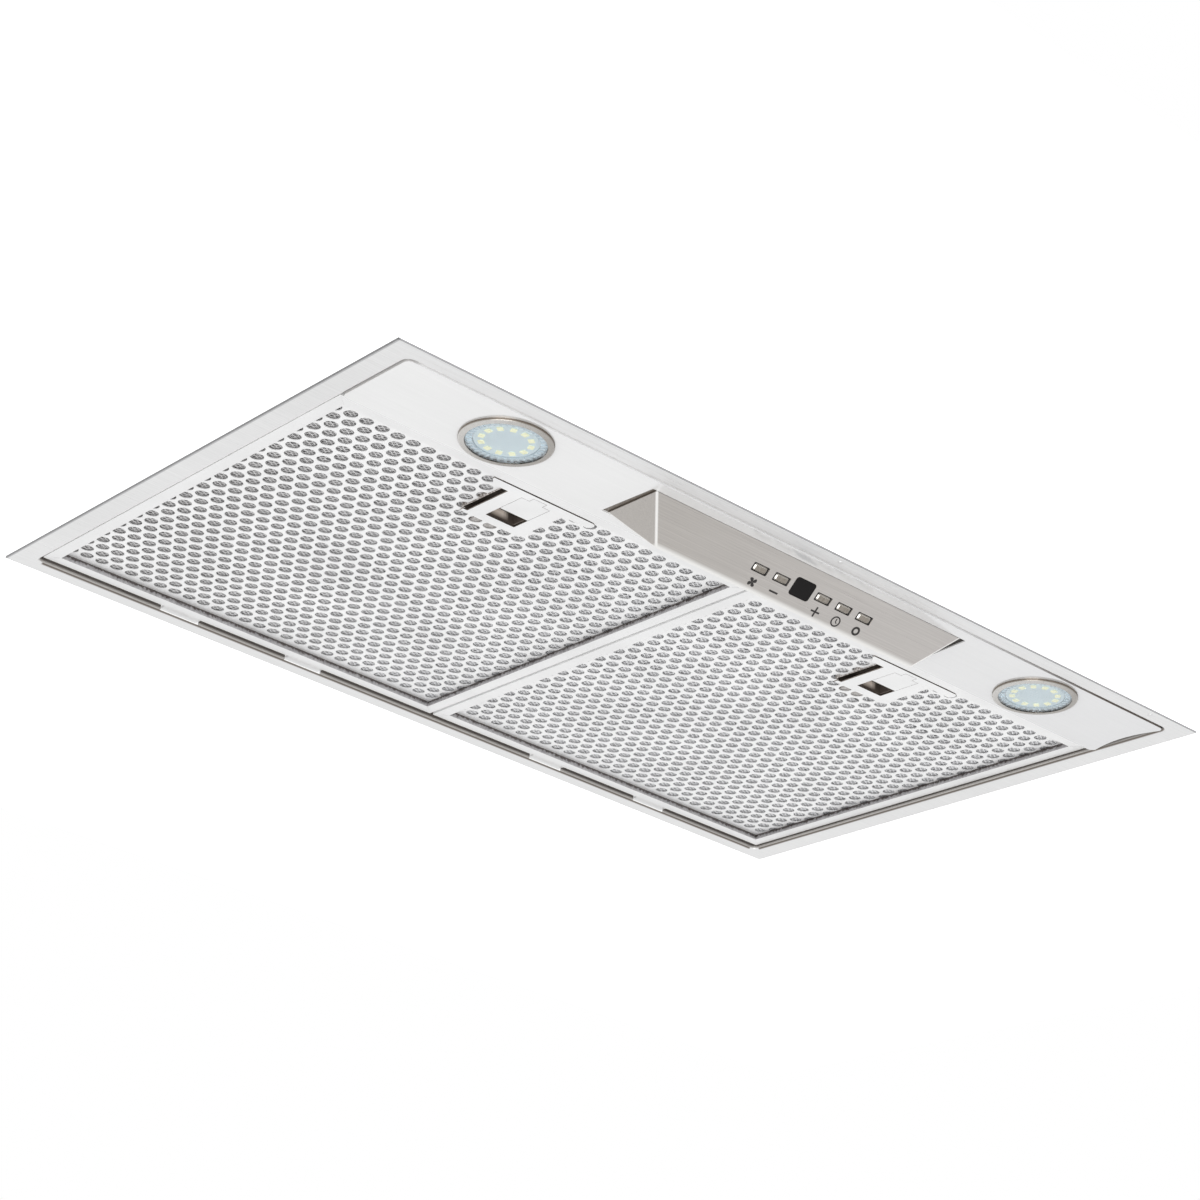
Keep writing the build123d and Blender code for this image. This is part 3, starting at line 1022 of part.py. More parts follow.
def make_gland():
    """Cable gland on the terminal box, with its bore left free."""
    x0 = TERMINAL_X - TERMINAL_LENGTH / 2
    z = ROOF_TOP + GLAND_HEIGHT
    nut = Pos(x0 - 3.0, TERMINAL_Y, z) * Rot(0, 90, 0) * extrude(
        RegularPolygon(GLAND_RADIUS + 1.5, 6), 3.0, both=True)
    body = nut + rod_x(x0 - GLAND_LENGTH, x0 - 5.5, TERMINAL_Y, z, GLAND_RADIUS - 0.5)
    body += rod_x(x0 - 1, x0 + TERMINAL_WALL + 6, TERMINAL_Y, z, GLAND_RADIUS - 1.6)
    body -= rod_x(x0 - GLAND_LENGTH - 1, x0 + TERMINAL_WALL + 7, TERMINAL_Y, z, GLAND_BORE)
    return body


def make_capacitor():
    """Motor capacitor that stands on the roof inside the blower box."""
    can = disc(CAPACITOR_X, CAPACITOR_Y, ROOF_TOP, ROOF_TOP + CAPACITOR_HEIGHT, CAPACITOR_RADIUS)
    can = fillet(can.faces().sort_by(Axis.Z)[-1].edges(), 2.0)
    can += disc(CAPACITOR_X, CAPACITOR_Y, TRAY_HEIGHT - 8, ROOF_TOP, 3.0)
    nut = Pos(CAPACITOR_X, CAPACITOR_Y, TRAY_HEIGHT - 5) * extrude(RegularPolygon(6.0, 6), 5.0)
    nut -= disc(CAPACITOR_X, CAPACITOR_Y, TRAY_HEIGHT - 6, TRAY_HEIGHT + 1, 3.02)
    return group(can, nut)


def make_power_module():
    """Relay and power box of the controls, hung from the roof in the lamp bay."""
    y = (STRIP_FRONT + STRIP_REAR) / 2
    x1 = MODULE_LENGTH / 2
    body = block(-x1, x1, y - MODULE_WIDTH / 2, y + MODULE_WIDTH / 2,
                 TRAY_HEIGHT - MODULE_HEIGHT, TRAY_HEIGHT)
    return fillet(body.faces().sort_by(Axis.Z)[0].edges(), 1.5)


# ---------------------------------------------------------------- brackets and fasteners
def make_brackets():
    """Four plates on the tray's sides that take the screws into the cabinet."""
    plates = []
    for side, y in BRACKETS:
        ends = sorted((side * (WALL_X + SHEET), side * (WALL_X + SHEET + BRACKET_THICK)))
        z0 = BRACKET_HOLE_Z - BRACKET_HEIGHT / 2
        plate = block(ends[0], ends[1], y - BRACKET_LENGTH / 2, y + BRACKET_LENGTH / 2,
                      z0, z0 + BRACKET_HEIGHT)
        plate = fillet(plate.edges().filter_by(Axis.X), 3.0)
        plate -= wall_rod(side, y, BRACKET_HOLE_Z, BRACKET_HOLE_RADIUS)
        for dy in (-1, 1):
            plate -= wall_rod(side, y + dy * BRACKET_LENGTH / 3, BRACKET_HOLE_Z - 12,
                              RIVET_RADIUS + SCREW_CLEARANCE)
        plates.append(plate)
    return group(*plates)


def make_rivets():
    """Rivets of the side brackets, and two small flush ones in the flange's front border."""
    rivets = []
    for side, y in BRACKETS:
        for dy in (-1, 1):
            spot = (y + dy * BRACKET_LENGTH / 3, BRACKET_HOLE_Z - 12)
            inner, outer = WALL_X, WALL_X + SHEET + BRACKET_THICK
            span = sorted((side * (inner - RIVET_HEAD), side * (outer + RIVET_HEAD)))
            pin = rod_x(span[0], span[1], *spot, RIVET_RADIUS)
            for near in (inner - RIVET_HEAD, outer):
                ends = sorted((side * near, side * (near + RIVET_HEAD)))
                pin += rod_x(ends[0], ends[1], *spot, RIVET_HEAD_RADIUS)
            rivets.append(pin)
    y = -FLANGE_WIDTH / 2 + (BORDER_FRONT - LIP_RADIUS) / 2
    for x in FASCIA_RIVET_X:
        pin = disc(x, y, Z_UNDER, 0.0, FASCIA_RIVET_RADIUS)
        pin += disc(x, y, Z_UNDER - FASCIA_RIVET_HEAD, Z_UNDER, FASCIA_RIVET_RADIUS + 0.5)
        rivets.append(pin)
    return group(*rivets)


def make_sheet_screws():
    """Screws of the roof, the blower box, the collar and the strip's hem."""
    screws = [pan_screw(x, y, ROOF_TOP, ROOF_SHEET + SHEET + 2) for x, y in RIM_SCREWS]
    screws += [pan_screw(x, y, ROOF_TOP + BOX_SHEET, ROOF_SHEET + BOX_SHEET + 3) for x, y in BOX_SCREWS]
    screws += [pan_screw(x, y, BOX_TOP + COLLAR_WALL, COLLAR_WALL + BOX_SHEET + 3) for x, y in COLLAR_SCREWS]
    screws += [pan_screw(x, y, BULKHEAD_Z + STRIP_SHEET, 5.0) for x, y in STRIP_SCREWS]
    return group(*screws)


# ---------------------------------------------------------------- build
def build():
    """Make every node, at rest, in the part's frame."""
    parts["flange_frame"] = make_flange_frame()
    parts["tray_roof"] = make_tray_roof()
    parts["bay_bulkhead"] = make_bulkhead()
    parts["lamp_strip"] = make_lamp_strip()
    parts["centre_rail"] = make_centre_rail()
    parts["control_housing"] = make_control_housing()
    parts["control_carrier"] = make_control_carrier()
    parts["control_board"] = make_control_board()
    parts["control_switches"] = make_switches()
    parts["control_screws"] = make_control_screws()
    parts["display_window"] = make_display()
    for index, name in KEY_NAMES.items():
        parts["button_" + name] = make_key(KEY_XS[index])
    for label, side in (("left", -1), ("right", 1)):
        x = side * LAMP_X
        parts["lamp_bezel_" + label] = make_bezel(x)
        parts["lamp_lens_" + label] = make_lens(x)
        parts["lamp_board_" + label] = make_lamp_board(x)
        parts["lamp_chips_" + label] = make_chips(x)
        parts["lamp_body_" + label] = make_lamp_body(x)
        parts["lamp_socket_" + label] = make_socket(x)
        parts["filter_frame_" + label] = make_filter_frame(side)
        parts["filter_face_" + label] = make_filter_face(side)
        parts["filter_mesh_" + label] = make_filter_mesh(side)
        parts["latch_housing_" + label] = make_latch_housing(side)
        parts["latch_slider_" + label] = make_latch_slider(side)
        parts["latch_spring_" + label] = make_latch_spring(side)
    parts["blower_box"] = make_blower_box()
    scroll = make_scroll()
    parts["scroll_left"] = half_of(scroll, -1)
    right = half_of(scroll, 1)
    for cut in motor_screw_cuts():
        right -= cut
    parts["scroll_right"] = right
    parts["impeller"] = make_impeller()
    parts["motor_shaft"] = make_shaft()
    parts["motor"] = make_motor()
    parts["motor_bracket"] = make_motor_bracket()
    parts["motor_screws"] = make_motor_screws()
    parts["outlet_collar"] = make_collar()
    parts["damper_pin"] = make_damper_pin()
    parts["damper_flap_front"] = make_flap(-1)
    parts["damper_flap_rear"] = make_flap(1)
    parts["terminal_box"] = make_terminal_box()
    parts["terminal_lid"] = make_terminal_lid()
    parts["cable_gland"] = make_gland()
    parts["capacitor"] = make_capacitor()
    parts["power_module"] = make_power_module()
    parts["mounting_brackets"] = make_brackets()
    parts["rivets"] = make_rivets()
    parts["sheet_screws"] = make_sheet_screws()


build()
os.makedirs("parts", exist_ok=True)
for node, shape in parts.items():
    export_step(bodies(shape), f"parts/{node}.step")
print(len(parts), "nodes")
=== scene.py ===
"""Looks of a range hood insert: brushed steel, aluminium filters, lamps, keys and the blower above."""

import math

import bpy
from mathutils import Matrix, Vector


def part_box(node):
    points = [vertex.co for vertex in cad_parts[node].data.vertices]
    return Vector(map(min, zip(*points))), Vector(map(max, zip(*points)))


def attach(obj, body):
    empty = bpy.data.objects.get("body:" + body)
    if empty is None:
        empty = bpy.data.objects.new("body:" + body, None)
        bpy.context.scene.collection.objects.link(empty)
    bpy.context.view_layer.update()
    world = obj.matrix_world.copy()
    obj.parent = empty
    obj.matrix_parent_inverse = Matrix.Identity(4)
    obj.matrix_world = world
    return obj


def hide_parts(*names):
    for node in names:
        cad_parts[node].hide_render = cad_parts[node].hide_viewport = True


bl_info = {
    "name": "Range hood insert",
    "version": (1, 0, 0),
    "blender": (4, 5, 0),
    "location": "View3D > Sidebar > Range hood",
    "description": "Finishes and small parts of a built-in range hood insert",
    "category": "Object",
}

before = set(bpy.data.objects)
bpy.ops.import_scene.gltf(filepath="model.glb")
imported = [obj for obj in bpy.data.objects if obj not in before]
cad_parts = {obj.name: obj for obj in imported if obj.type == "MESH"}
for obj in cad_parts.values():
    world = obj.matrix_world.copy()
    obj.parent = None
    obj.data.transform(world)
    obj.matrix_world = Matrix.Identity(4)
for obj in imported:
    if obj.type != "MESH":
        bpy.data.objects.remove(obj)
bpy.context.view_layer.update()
SIDES = ("left", "right")
KEYS = ("fan", "minus", "plus", "timer", "light")
MM = 0.001


# ---------------------------------------------------------------- user's values
def colour_value(name, description, default):
    """Colour that the user can set"""
    return bpy.props.FloatVectorProperty(
        name=name, description=description, subtype="COLOR", default=default, min=0, max=1)


def length_value(name, description, default, low, high):
    """Length in metres that the user can set"""
    return bpy.props.FloatProperty(
        name=name, description=description, unit="LENGTH", default=default, min=low, max=high)


class HoodMetals(bpy.types.PropertyGroup):
    """Colours and grain of the sheet metals, and the painted shade on the flange's cut edges"""

    steel: colour_value("Steel", "Colour of the brushed steel", (0.86, 0.86, 0.86))
    housing: colour_value("Key housing", "Colour of the key housing's steel", (0.592, 0.566, 0.545))
    aluminium: colour_value("Aluminium", "Colour of the filters", (0.90, 0.90, 0.90))
    zinc: colour_value("Zinc", "Colour of the galvanised sheet", (0.50, 0.52, 0.54))
    # Painted shade: these two tones darken the flange's cut edges.
    cut_end_shade: colour_value("Cut ends", "Tone of the flange's left and right cut edges",
                          (0.28, 0.28, 0.28))
    cut_edge_shade: colour_value("Cut edges", "Tone of the flange's front and rear cut edges",
                           (0.33, 0.33, 0.34))
    grain: length_value("Grain", "Depth of the brushed grain", 0.00006, 0, 0.001)


class HoodControls(bpy.types.PropertyGroup):
    """Marks below the keys"""

    mark_drop: length_value("Mark drop", "From the housing's base edge down the slope to the marks",
                            0.0257, 0.02, 0.03)
    mark_shift: length_value("Mark shift", "From the keys' centres left to their marks",
                             0.0007, 0, 0.003)
    mark_depth: length_value("Mark thickness", "Thickness of the printed marks",
                             0.00012, 0.00005, 0.0005)
    mark_colour: colour_value("Mark colour", "Colour of the printed marks", (0.016, 0.014, 0.013))


class HoodLamps(bpy.types.PropertyGroup):
    """Rim, plate and chips of the lamps"""

    teeth: bpy.props.IntProperty(
        name="Facets", description="Facets round the lamp's rim", default=36, min=12, max=72)
    plate: colour_value("Lamp plate", "Colour of the lamp's plate", (0.78, 0.90, 0.95))
    chip: colour_value("Chip", "Colour of the light chips", (0.99, 0.96, 0.62))


class HoodMesh(bpy.types.PropertyGroup):
    """Expanded mesh inside the filters"""

    cell_long: length_value("Cell length", "Long way of a diamond", 0.0054, 0.003, 0.02)
    cell_short: length_value("Cell width", "Short way of a diamond", 0.0031, 0.002, 0.02)
    strand: length_value("Strand", "Width of a strand", 0.0009, 0.0002, 0.002)
    crumple: length_value("Crumple", "How far the strands wander", 0.0016, 0, 0.004)


class HoodStage(bpy.types.PropertyGroup):
    """Camera, ceiling panel and floor"""

    lens: bpy.props.FloatProperty(
        name="Lens", description="Focal length for a 36 mm frame", subtype="DISTANCE_CAMERA",
        default=84.418, min=10, max=300)
    camera_place: bpy.props.FloatVectorProperty(
        name="Camera place", description="Where the camera stands", subtype="TRANSLATION",
        unit="LENGTH", default=(-1.092744, -1.385763, -0.786504))
    camera_turn: bpy.props.FloatVectorProperty(
        name="Camera turn", description="Turn of the camera", subtype="EULER",
        default=(2.00785166, -0.09735697, -0.70656245))
    panel_reach: length_value("Panel reach", "How far the ceiling panel runs past the flange",
                              0.45, 0.3, 2)
    floor_drop: length_value("Floor drop", "How far the floor lies below the flange", 3.2, 1, 10)


# ---------------------------------------------------------------- modelling helpers
def start_clean():
    """Leave edit mode with nothing selected."""
    if bpy.context.mode != "OBJECT":
        bpy.ops.object.mode_set(mode="OBJECT")
    bpy.ops.object.select_all(action="DESELECT")


def take(obj):
    """Make one object the only one selected, and active."""
    start_clean()
    obj.select_set(True)
    bpy.context.view_layer.objects.active = obj
    return obj


def named(name):
    """Name the new primitive and its mesh."""
    obj = bpy.context.object
    obj.name = name
    obj.data.name = name
    return obj


def select_parts(obj, kind, test):
    """Select the faces or edges that pass a test, and go to edit mode for them."""
    take(obj)
    bpy.ops.object.mode_set(mode="EDIT")
    bpy.ops.mesh.select_mode(type=kind)
    bpy.ops.mesh.select_all(action="DESELECT")
    bpy.ops.object.mode_set(mode="OBJECT")
    for part in obj.data.polygons if kind == "FACE" else obj.data.edges:
        part.select = test(part)
    bpy.ops.object.mode_set(mode="EDIT")


def select_faces(obj, test=lambda face: True):
    """Select faces by place or normal, or all of them."""
    select_parts(obj, "FACE", test)


def select_edges(obj, test):
    """Select the edges whose two ends pass a test."""
    select_parts(obj, "EDGE", lambda edge: test(*(obj.data.vertices[end].co for end in edge.vertices)))


def extrude(*way):
    """Extrude what is selected, and leave edit mode."""
    bpy.ops.mesh.extrude_region_move(TRANSFORM_OT_translate={"value": way})
    bpy.ops.object.mode_set(mode="OBJECT")


def block(name, low, high, bevel=0.0, segments=2):
    """Cube primitive between two corners, its place already in the mesh, with soft edges."""
    low, high = Vector(low), Vector(high)
    start_clean()
    bpy.ops.mesh.primitive_cube_add(size=1, location=(low + high) / 2)
    obj = named(name)
    obj.scale = high - low
    seat(obj)
    if bevel:
        round_edges(obj, bevel, segments)
    return obj


def round_edges(obj, width, segments=2, angle=30):
    """Bevel modifier, applied."""
    take(obj)
    tool = obj.modifiers.new("soft_edges", "BEVEL")
    tool.width = width
    tool.segments = segments
    tool.limit_method = "ANGLE"
    tool.angle_limit = math.radians(angle)
    bpy.ops.object.modifier_apply(modifier=tool.name)


def seat(obj, matrix=None):
    """Put an object's place into its mesh."""
    take(obj)
    if matrix is not None:
        obj.matrix_world = matrix @ obj.matrix_world
    bpy.ops.object.transform_apply(location=True, rotation=True, scale=True)
    return obj


def repeat(obj, count, step, merge=False):
    """Array modifier with a constant step, applied."""
    take(obj)
    tool = obj.modifiers.new("repeat", "ARRAY")
    tool.use_relative_offset = False
    tool.use_constant_offset = True
    tool.constant_offset_displace = step
    tool.count = count
    tool.use_merge_vertices = merge
    tool.merge_threshold = 1e-5
    bpy.ops.object.modifier_apply(modifier=tool.name)


def outward(obj):
    """Merge doubles and turn the faces outwards."""
    take(obj)
    bpy.ops.object.mode_set(mode="EDIT")
    bpy.ops.mesh.select_all(action="SELECT")
    bpy.ops.mesh.remove_doubles(threshold=1e-6)
    bpy.ops.mesh.normals_make_consistent(inside=False)
    bpy.ops.object.mode_set(mode="OBJECT")
    return obj


def twin(obj, name, matrix):
    """Copy a piece with a mesh of its own, moved by a matrix."""
    copy = obj.copy()
    copy.data = obj.data.copy()
    copy.name = copy.data.name = name
    bpy.context.scene.collection.objects.link(copy)
    return seat(copy, matrix)


def joined(name, pieces):
    """Join pieces into one object."""
    take(pieces[0])
    for piece in pieces:
        piece.select_set(True)
    bpy.context.view_layer.objects.active = pieces[0]
    bpy.ops.object.join()
    return named(name)


def smooth(obj, angle=35):
    """Shade smooth below an angle."""
    take(obj)
    bpy.ops.object.shade_smooth_by_angle(angle=math.radians(angle))
    return obj


def dress(obj, material, body):
    """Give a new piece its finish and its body."""
    obj.data.materials.clear()
    obj.data.materials.append(material)
    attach(obj, body)
    return obj


def coat(material, *nodes):
    """Give carried-over nodes their finish."""
    for node in nodes:
        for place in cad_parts[node].material_slots:
            place.material = material


def ring(name, outer, inner, low, high, segments=48):
    """Flat ring from a filled circle: inset, centre removed, then extruded."""
    start_clean()
    bpy.ops.mesh.primitive_circle_add(vertices=segments, radius=outer, fill_type="NGON",
                                      location=(0, 0, low))
    obj = named(name)
    seat(obj)
    select_faces(obj)
    bpy.ops.mesh.inset(thickness=outer - inner)
    bpy.ops.mesh.delete(type="FACE")
    bpy.ops.mesh.select_all(action="SELECT")
    extrude(0, 0, high - low)
    return outward(obj)


# ---------------------------------------------------------------- finishes
def blank(name):
    """New node material with its shader and tree."""
    material = bpy.data.materials.new(name)
    material.use_nodes = True
    return material, material.node_tree, material.node_tree.nodes["Principled BSDF"]


def surface(tree, output="Object"):
    """Where the shaded point lies on the object, or the object's normal there."""
    return tree.nodes.new("ShaderNodeTexCoord").outputs[output]


def texture(tree, kind, scale, turn=(0, 0, 0)):
    """Texture on Object coordinates, stretched by a scale for each axis."""
    mapping = tree.nodes.new("ShaderNodeMapping")
    mapping.inputs["Scale"].default_value = scale
    mapping.inputs["Rotation"].default_value = turn
    tree.links.new(surface(tree), mapping.inputs["Vector"])
    node = tree.nodes.new(kind)
    node.inputs["Scale"].default_value = 1.0
    tree.links.new(mapping.outputs["Vector"], node.inputs["Vector"])
    return node


def noise(tree, scale, detail=4.0, roughness=0.6):
    """Noise stretched by a scale for each axis, or by one number for all three."""
    node = texture(tree, "ShaderNodeTexNoise", scale if isinstance(scale, tuple) else (scale,) * 3)
    node.inputs["Detail"].default_value = detail
    node.inputs["Roughness"].default_value = roughness
    return node.outputs["Fac"]


def value_range(tree, source, low, high, start=0.3, end=0.7):
    """Map a pattern's value onto a range."""
    node = tree.nodes.new("ShaderNodeMapRange")
    node.inputs["From Min"].default_value = start
    node.inputs["From Max"].default_value = end
    node.inputs["To Min"].default_value = low
    node.inputs["To Max"].default_value = high
    tree.links.new(source, node.inputs["Value"])
    return node.outputs["Result"]


def rises(tree, source, start, end):
    """Nought before a span of a value, one behind it."""
    return value_range(tree, source, 0.0, 1.0, start, end)


def falls(tree, source, start, end):
    """One before a span of a value, nought behind it."""
    return value_range(tree, source, 1.0, 0.0, start, end)


def two_tone(tree, source, first, second, start=0.3, end=0.7):
    """Ramp between two colours."""
    ramp = tree.nodes.new("ShaderNodeValToRGB")
    ramp.color_ramp.elements[0].position = start
    ramp.color_ramp.elements[1].position = end
    ramp.color_ramp.elements[0].color = (*first, 1)
    ramp.color_ramp.elements[1].color = (*second, 1)
    tree.links.new(source, ramp.inputs["Fac"])
    return ramp.outputs["Color"]


def relief(tree, shader, height, strength, distance):
    """Bump from a pattern."""
    bump = tree.nodes.new("ShaderNodeBump")
    bump.inputs["Strength"].default_value = strength
    bump.inputs["Distance"].default_value = distance
    tree.links.new(height, bump.inputs["Height"])
    tree.links.new(bump.outputs["Normal"], shader.inputs["Normal"])
    return bump


def tint(colour, factor):
    """Lighter or darker copy of a colour."""
    return tuple(min(1.0, channel * factor) for channel in colour)


def coordinate(tree, axis, output="Object"):
    """One axis of the Object coordinates, or of the Object normal."""
    split = tree.nodes.new("ShaderNodeSeparateXYZ")
    tree.links.new(surface(tree, output), split.inputs["Vector"])
    return split.outputs[axis]


def feed(tree, kind, operation, values):
    """New node of an operation, its first inputs linked or set."""
    node = tree.nodes.new(kind)
    node.operation = operation
    for socket, value in zip(node.inputs, values):
        if isinstance(value, bpy.types.NodeSocket):
            tree.links.new(value, socket)
        else:
            socket.default_value = value
    return node


def calculate(tree, operation, first, second=0.0):
    """Math node on sockets or numbers."""
    return feed(tree, "ShaderNodeMath", operation, (first, second)).outputs["Value"]


def dot_product(tree, first, second):
    """Dot product of two vectors, given as sockets or values."""
    return feed(tree, "ShaderNodeVectorMath", "DOT_PRODUCT", (first, second)).outputs["Value"]


def size_of(tree, value):
    """A value without its sign."""
    return calculate(tree, "ABSOLUTE", value)


def opposite(tree, mask):
    """One where a mask is nought."""
    return calculate(tree, "SUBTRACT", 1.0, mask)


def between(tree, source, low, high, soft=0.0001):
    """One inside a span of a coordinate, nought outside."""
    return product(tree, rises(tree, source, low - soft, low + soft),
                   falls(tree, source, high - soft, high + soft))


def upright(tree):
    """One where the surface stands upright, nought where it faces up or down."""
    return falls(tree, size_of(tree, coordinate(tree, "Z", "Normal")), 0.35, 0.75)


def product(tree, *masks):
    """Masks multiplied together."""
    result = masks[0]
    for mask in masks[1:]:
        result = calculate(tree, "MULTIPLY", result, mask)
    return result


def mixed(tree, first, second, mask=1.0, blend="MULTIPLY"):
    """Two colours multiplied or blended by a mask, all as sockets or values."""
    mix = tree.nodes.new("ShaderNodeMix")
    mix.data_type = "RGBA"
    mix.blend_type = blend
    for name, value in (("A", first), ("B", second), ("Factor", mask)):
        if isinstance(value, bpy.types.NodeSocket):
            tree.links.new(value, mix.inputs[name])
        else:
            mix.inputs[name].default_value = value
    return mix.outputs["Result"]


def tone_where(tree, shader, mask, tone, blend="MULTIPLY"):
    """Multiply the base colour by a tone where a mask is one."""
    base = shader.inputs["Base Color"]
    tree.links.new(mixed(tree, base.links[0].from_socket, (*tone, 1), mask, blend), base)


def lift_where(tree, shader, mask, colour):
    """Blend the base colour into another one where a mask is one."""
    tone_where(tree, shader, mask, colour, blend="MIX")


def drive(tree, shader, **sources):
    """Link sources to the shader's inputs."""
    for name, source in sources.items():
        tree.links.new(source, shader.inputs[name.replace("_", " ")])


def tree_of(material):
    """A material's tree and shader."""
    return material.node_tree, material.node_tree.nodes["Principled BSDF"]


def brushed_metal(name, colour, scale, roughness, grain, spread=0.06):
    """Brushed sheet: long streaks in colour, gloss and relief, with faint clouds over them."""
    material, tree, shader = blank(name)
    shader.inputs["Metallic"].default_value = 1.0
    streaks = noise(tree, scale, detail=5.0, roughness=0.7)
    streaked = two_tone(tree, streaks, tint(colour, 1 - spread), tint(colour, 1 + spread))
    clouded = two_tone(tree, noise(tree, (7, 9, 9), detail=2.0), (0.96, 0.96, 0.96), (1, 1, 1))
    drive(tree, shader, Base_Color=mixed(tree, streaked, clouded),
          Roughness=value_range(tree, streaks, *roughness))
    relief(tree, shader, streaks, 0.35, grain)
    return material


def speckled(name, colour, tones, roughness, speckle, depth, clouds, detail):
    """Even skin: a fine speckle in gloss and relief, faint clouds in the colour."""
    material, tree, shader = blank(name)
    fine = noise(tree, speckle, detail=detail)
    cloudy = two_tone(tree, noise(tree, clouds, detail=detail), *(tint(colour, tone) for tone in tones))
    drive(tree, shader, Base_Color=cloudy, Roughness=value_range(tree, fine, *roughness))
    relief(tree, shader, fine, 0.3, depth)
    return material


def satin_metal(name, colour, roughness, speckle=900, depth=0.00002, metallic=1.0):
    """Even satin metal."""
    material = speckled(name, colour, (0.94, 1.03), roughness, speckle, depth, clouds=14, detail=3.0)
    tree_of(material)[1].inputs["Metallic"].default_value = metallic
    return material


def galvanised_sheet(name, colour):
    """Zinc-coated sheet with its pale crystals."""
    material, tree, shader = blank(name)
    shader.inputs["Metallic"].default_value = 1.0
    cells = texture(tree, "ShaderNodeTexVoronoi", (130, 130, 130))
    split = tree.nodes.new("ShaderNodeSeparateColor")
    tree.links.new(cells.outputs["Color"], split.inputs["Color"])
    tones = tint(colour, 0.92), tint(colour, 1.06)
    drive(tree, shader, Base_Color=two_tone(tree, split.outputs["Red"], *tones, 0.1, 0.9),
          Roughness=value_range(tree, split.outputs["Green"], 0.30, 0.50, 0.0, 1.0))
    relief(tree, shader, noise(tree, 500, detail=3.0), 0.25, 0.00004)
    return material


def moulded_plastic(name, colour, roughness=(0.42, 0.58), texture=1400, depth=0.00003):
    """Moulded plastic with a fine spark-eroded skin."""
    return speckled(name, colour, (0.93, 1.05), roughness, texture, depth, clouds=30, detail=2.0)


def clear_glass(name, colour):
    """Lamp glass with a slight waviness."""
    material, tree, shader = blank(name)
    shader.inputs["Base Color"].default_value = (*colour, 1)
    shader.inputs["Transmission Weight"].default_value = 1.0
    shader.inputs["IOR"].default_value = 1.45
    waves = noise(tree, 160, detail=2.0)
    drive(tree, shader, Roughness=value_range(tree, waves, 0.0, 0.05))
    relief(tree, shader, waves, 0.2, 0.00004)
    return material


def glowing(material, colour, strength):
    """Let a finish give off some light of its own."""
    shader = tree_of(material)[1]
    shader.inputs["Emission Color"].default_value = (*colour, 1)
    shader.inputs["Emission Strength"].default_value = strength
    return material


def board_green(name):
    """Solder mask with faint copper tracks."""
    material, tree, shader = blank(name)
    tracks = noise(tree, (900, 60, 900), detail=1.0)
    drive(tree, shader,
          Base_Color=two_tone(tree, tracks, (0.01, 0.10, 0.04), (0.03, 0.20, 0.08), 0.48, 0.52),
          Roughness=value_range(tree, tracks, 0.25, 0.4))
    return material


# ---------------------------------------------------------------- sheet metal
def flange_steel(metals):
    """Brushed flange with painted shade: a band along its left edge and its cut edges are darker, and
    the curve of the lip and the walls in the gap are darkened, most on the rear and right.
    """
    material = brushed_metal("flange_steel", metals.steel, (18, 900, 900), (0.26, 0.40), metals.grain)
    tree, shader = tree_of(material)
    low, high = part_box("flange_frame")
    wall_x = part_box("filter_frame_right")[1].x + 2.2 * MM
    wall_front, wall_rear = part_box("lamp_strip")[0].y - 0.8 * MM, high.y - 12.2 * MM
    edge, curve = (0.3 * MM, 0.1 * MM), 2.6 * MM     # depth of the cut edges' tone, reach of the lip
    x, y, z = (coordinate(tree, axis) for axis in "XYZ")
    across = size_of(tree, x)
    # Painted shade: a band along the flange's left edge and its cut edges are darkened, standing for the
    # shade on these side faces.
    tone_where(tree, shader, falls(tree, x, low.x + 1.0 * MM, low.x + 1.7 * MM), (0.62, 0.62, 0.63))
    tone_where(tree, shader, rises(tree, across, *(high.x - depth for depth in edge)), metals.cut_end_shade)
    tone_where(tree, shader, rises(tree, size_of(tree, y), *(high.y - depth for depth in edge)),
               metals.cut_edge_shade)

    turned = dot_product(tree, surface(tree), surface(tree, "Normal"))
    outside = product(tree, rises(tree, turned, 0.05, 0.1), rises(tree, z, 0.0, 1 * MM))
    tone_where(tree, shader, outside, (0.60, 0.61, 0.62))
    # Painted shade in the gap beside the filters: the curve of the lip on the rear and right is darkened
    # brown; the rear-right corner is left bright.
    hollow = product(tree, falls(tree, turned, -0.02, 0.01), between(tree, across, -1, wall_x + curve),
                     between(tree, y, wall_front - curve, wall_rear + curve))
    corner = product(tree, between(tree, across, wall_x - 4.5 * MM, 1, 0.7 * MM),
                     between(tree, y, wall_rear - 4.5 * MM, 1, 0.7 * MM))
    far = calculate(tree, "MAXIMUM", rises(tree, x, wall_x - 3 * MM, wall_x - 1 * MM),
                    rises(tree, y, wall_rear - 3 * MM, wall_rear - 1 * MM))
    fold = product(tree, rises(tree, z, -1.15 * MM, -0.7 * MM), falls(tree, z, 0.0, 0.5 * MM))
    tone_where(tree, shader, product(tree, hollow, fold, opposite(tree, corner), far),
               (0.24, 0.21, 0.185))
    # Painted shade on the walls in the gap: they turn non-metallic and pale, then darker on the rear and
    # right, and darker still higher up.
    inner = product(tree, hollow, rises(tree, z, 0.0, 0.5 * MM))
    lift_where(tree, shader, inner, (0.95, 0.94, 0.93))
    tone_where(tree, shader, product(tree, inner, far), (0.42, 0.405, 0.39))
    tone_where(tree, shader, product(tree, inner, far, rises(tree, z, 1.2 * MM, 2.2 * MM)),
               (0.30, 0.28, 0.265))
    drive(tree, shader, Metallic=opposite(tree, inner))
    return material


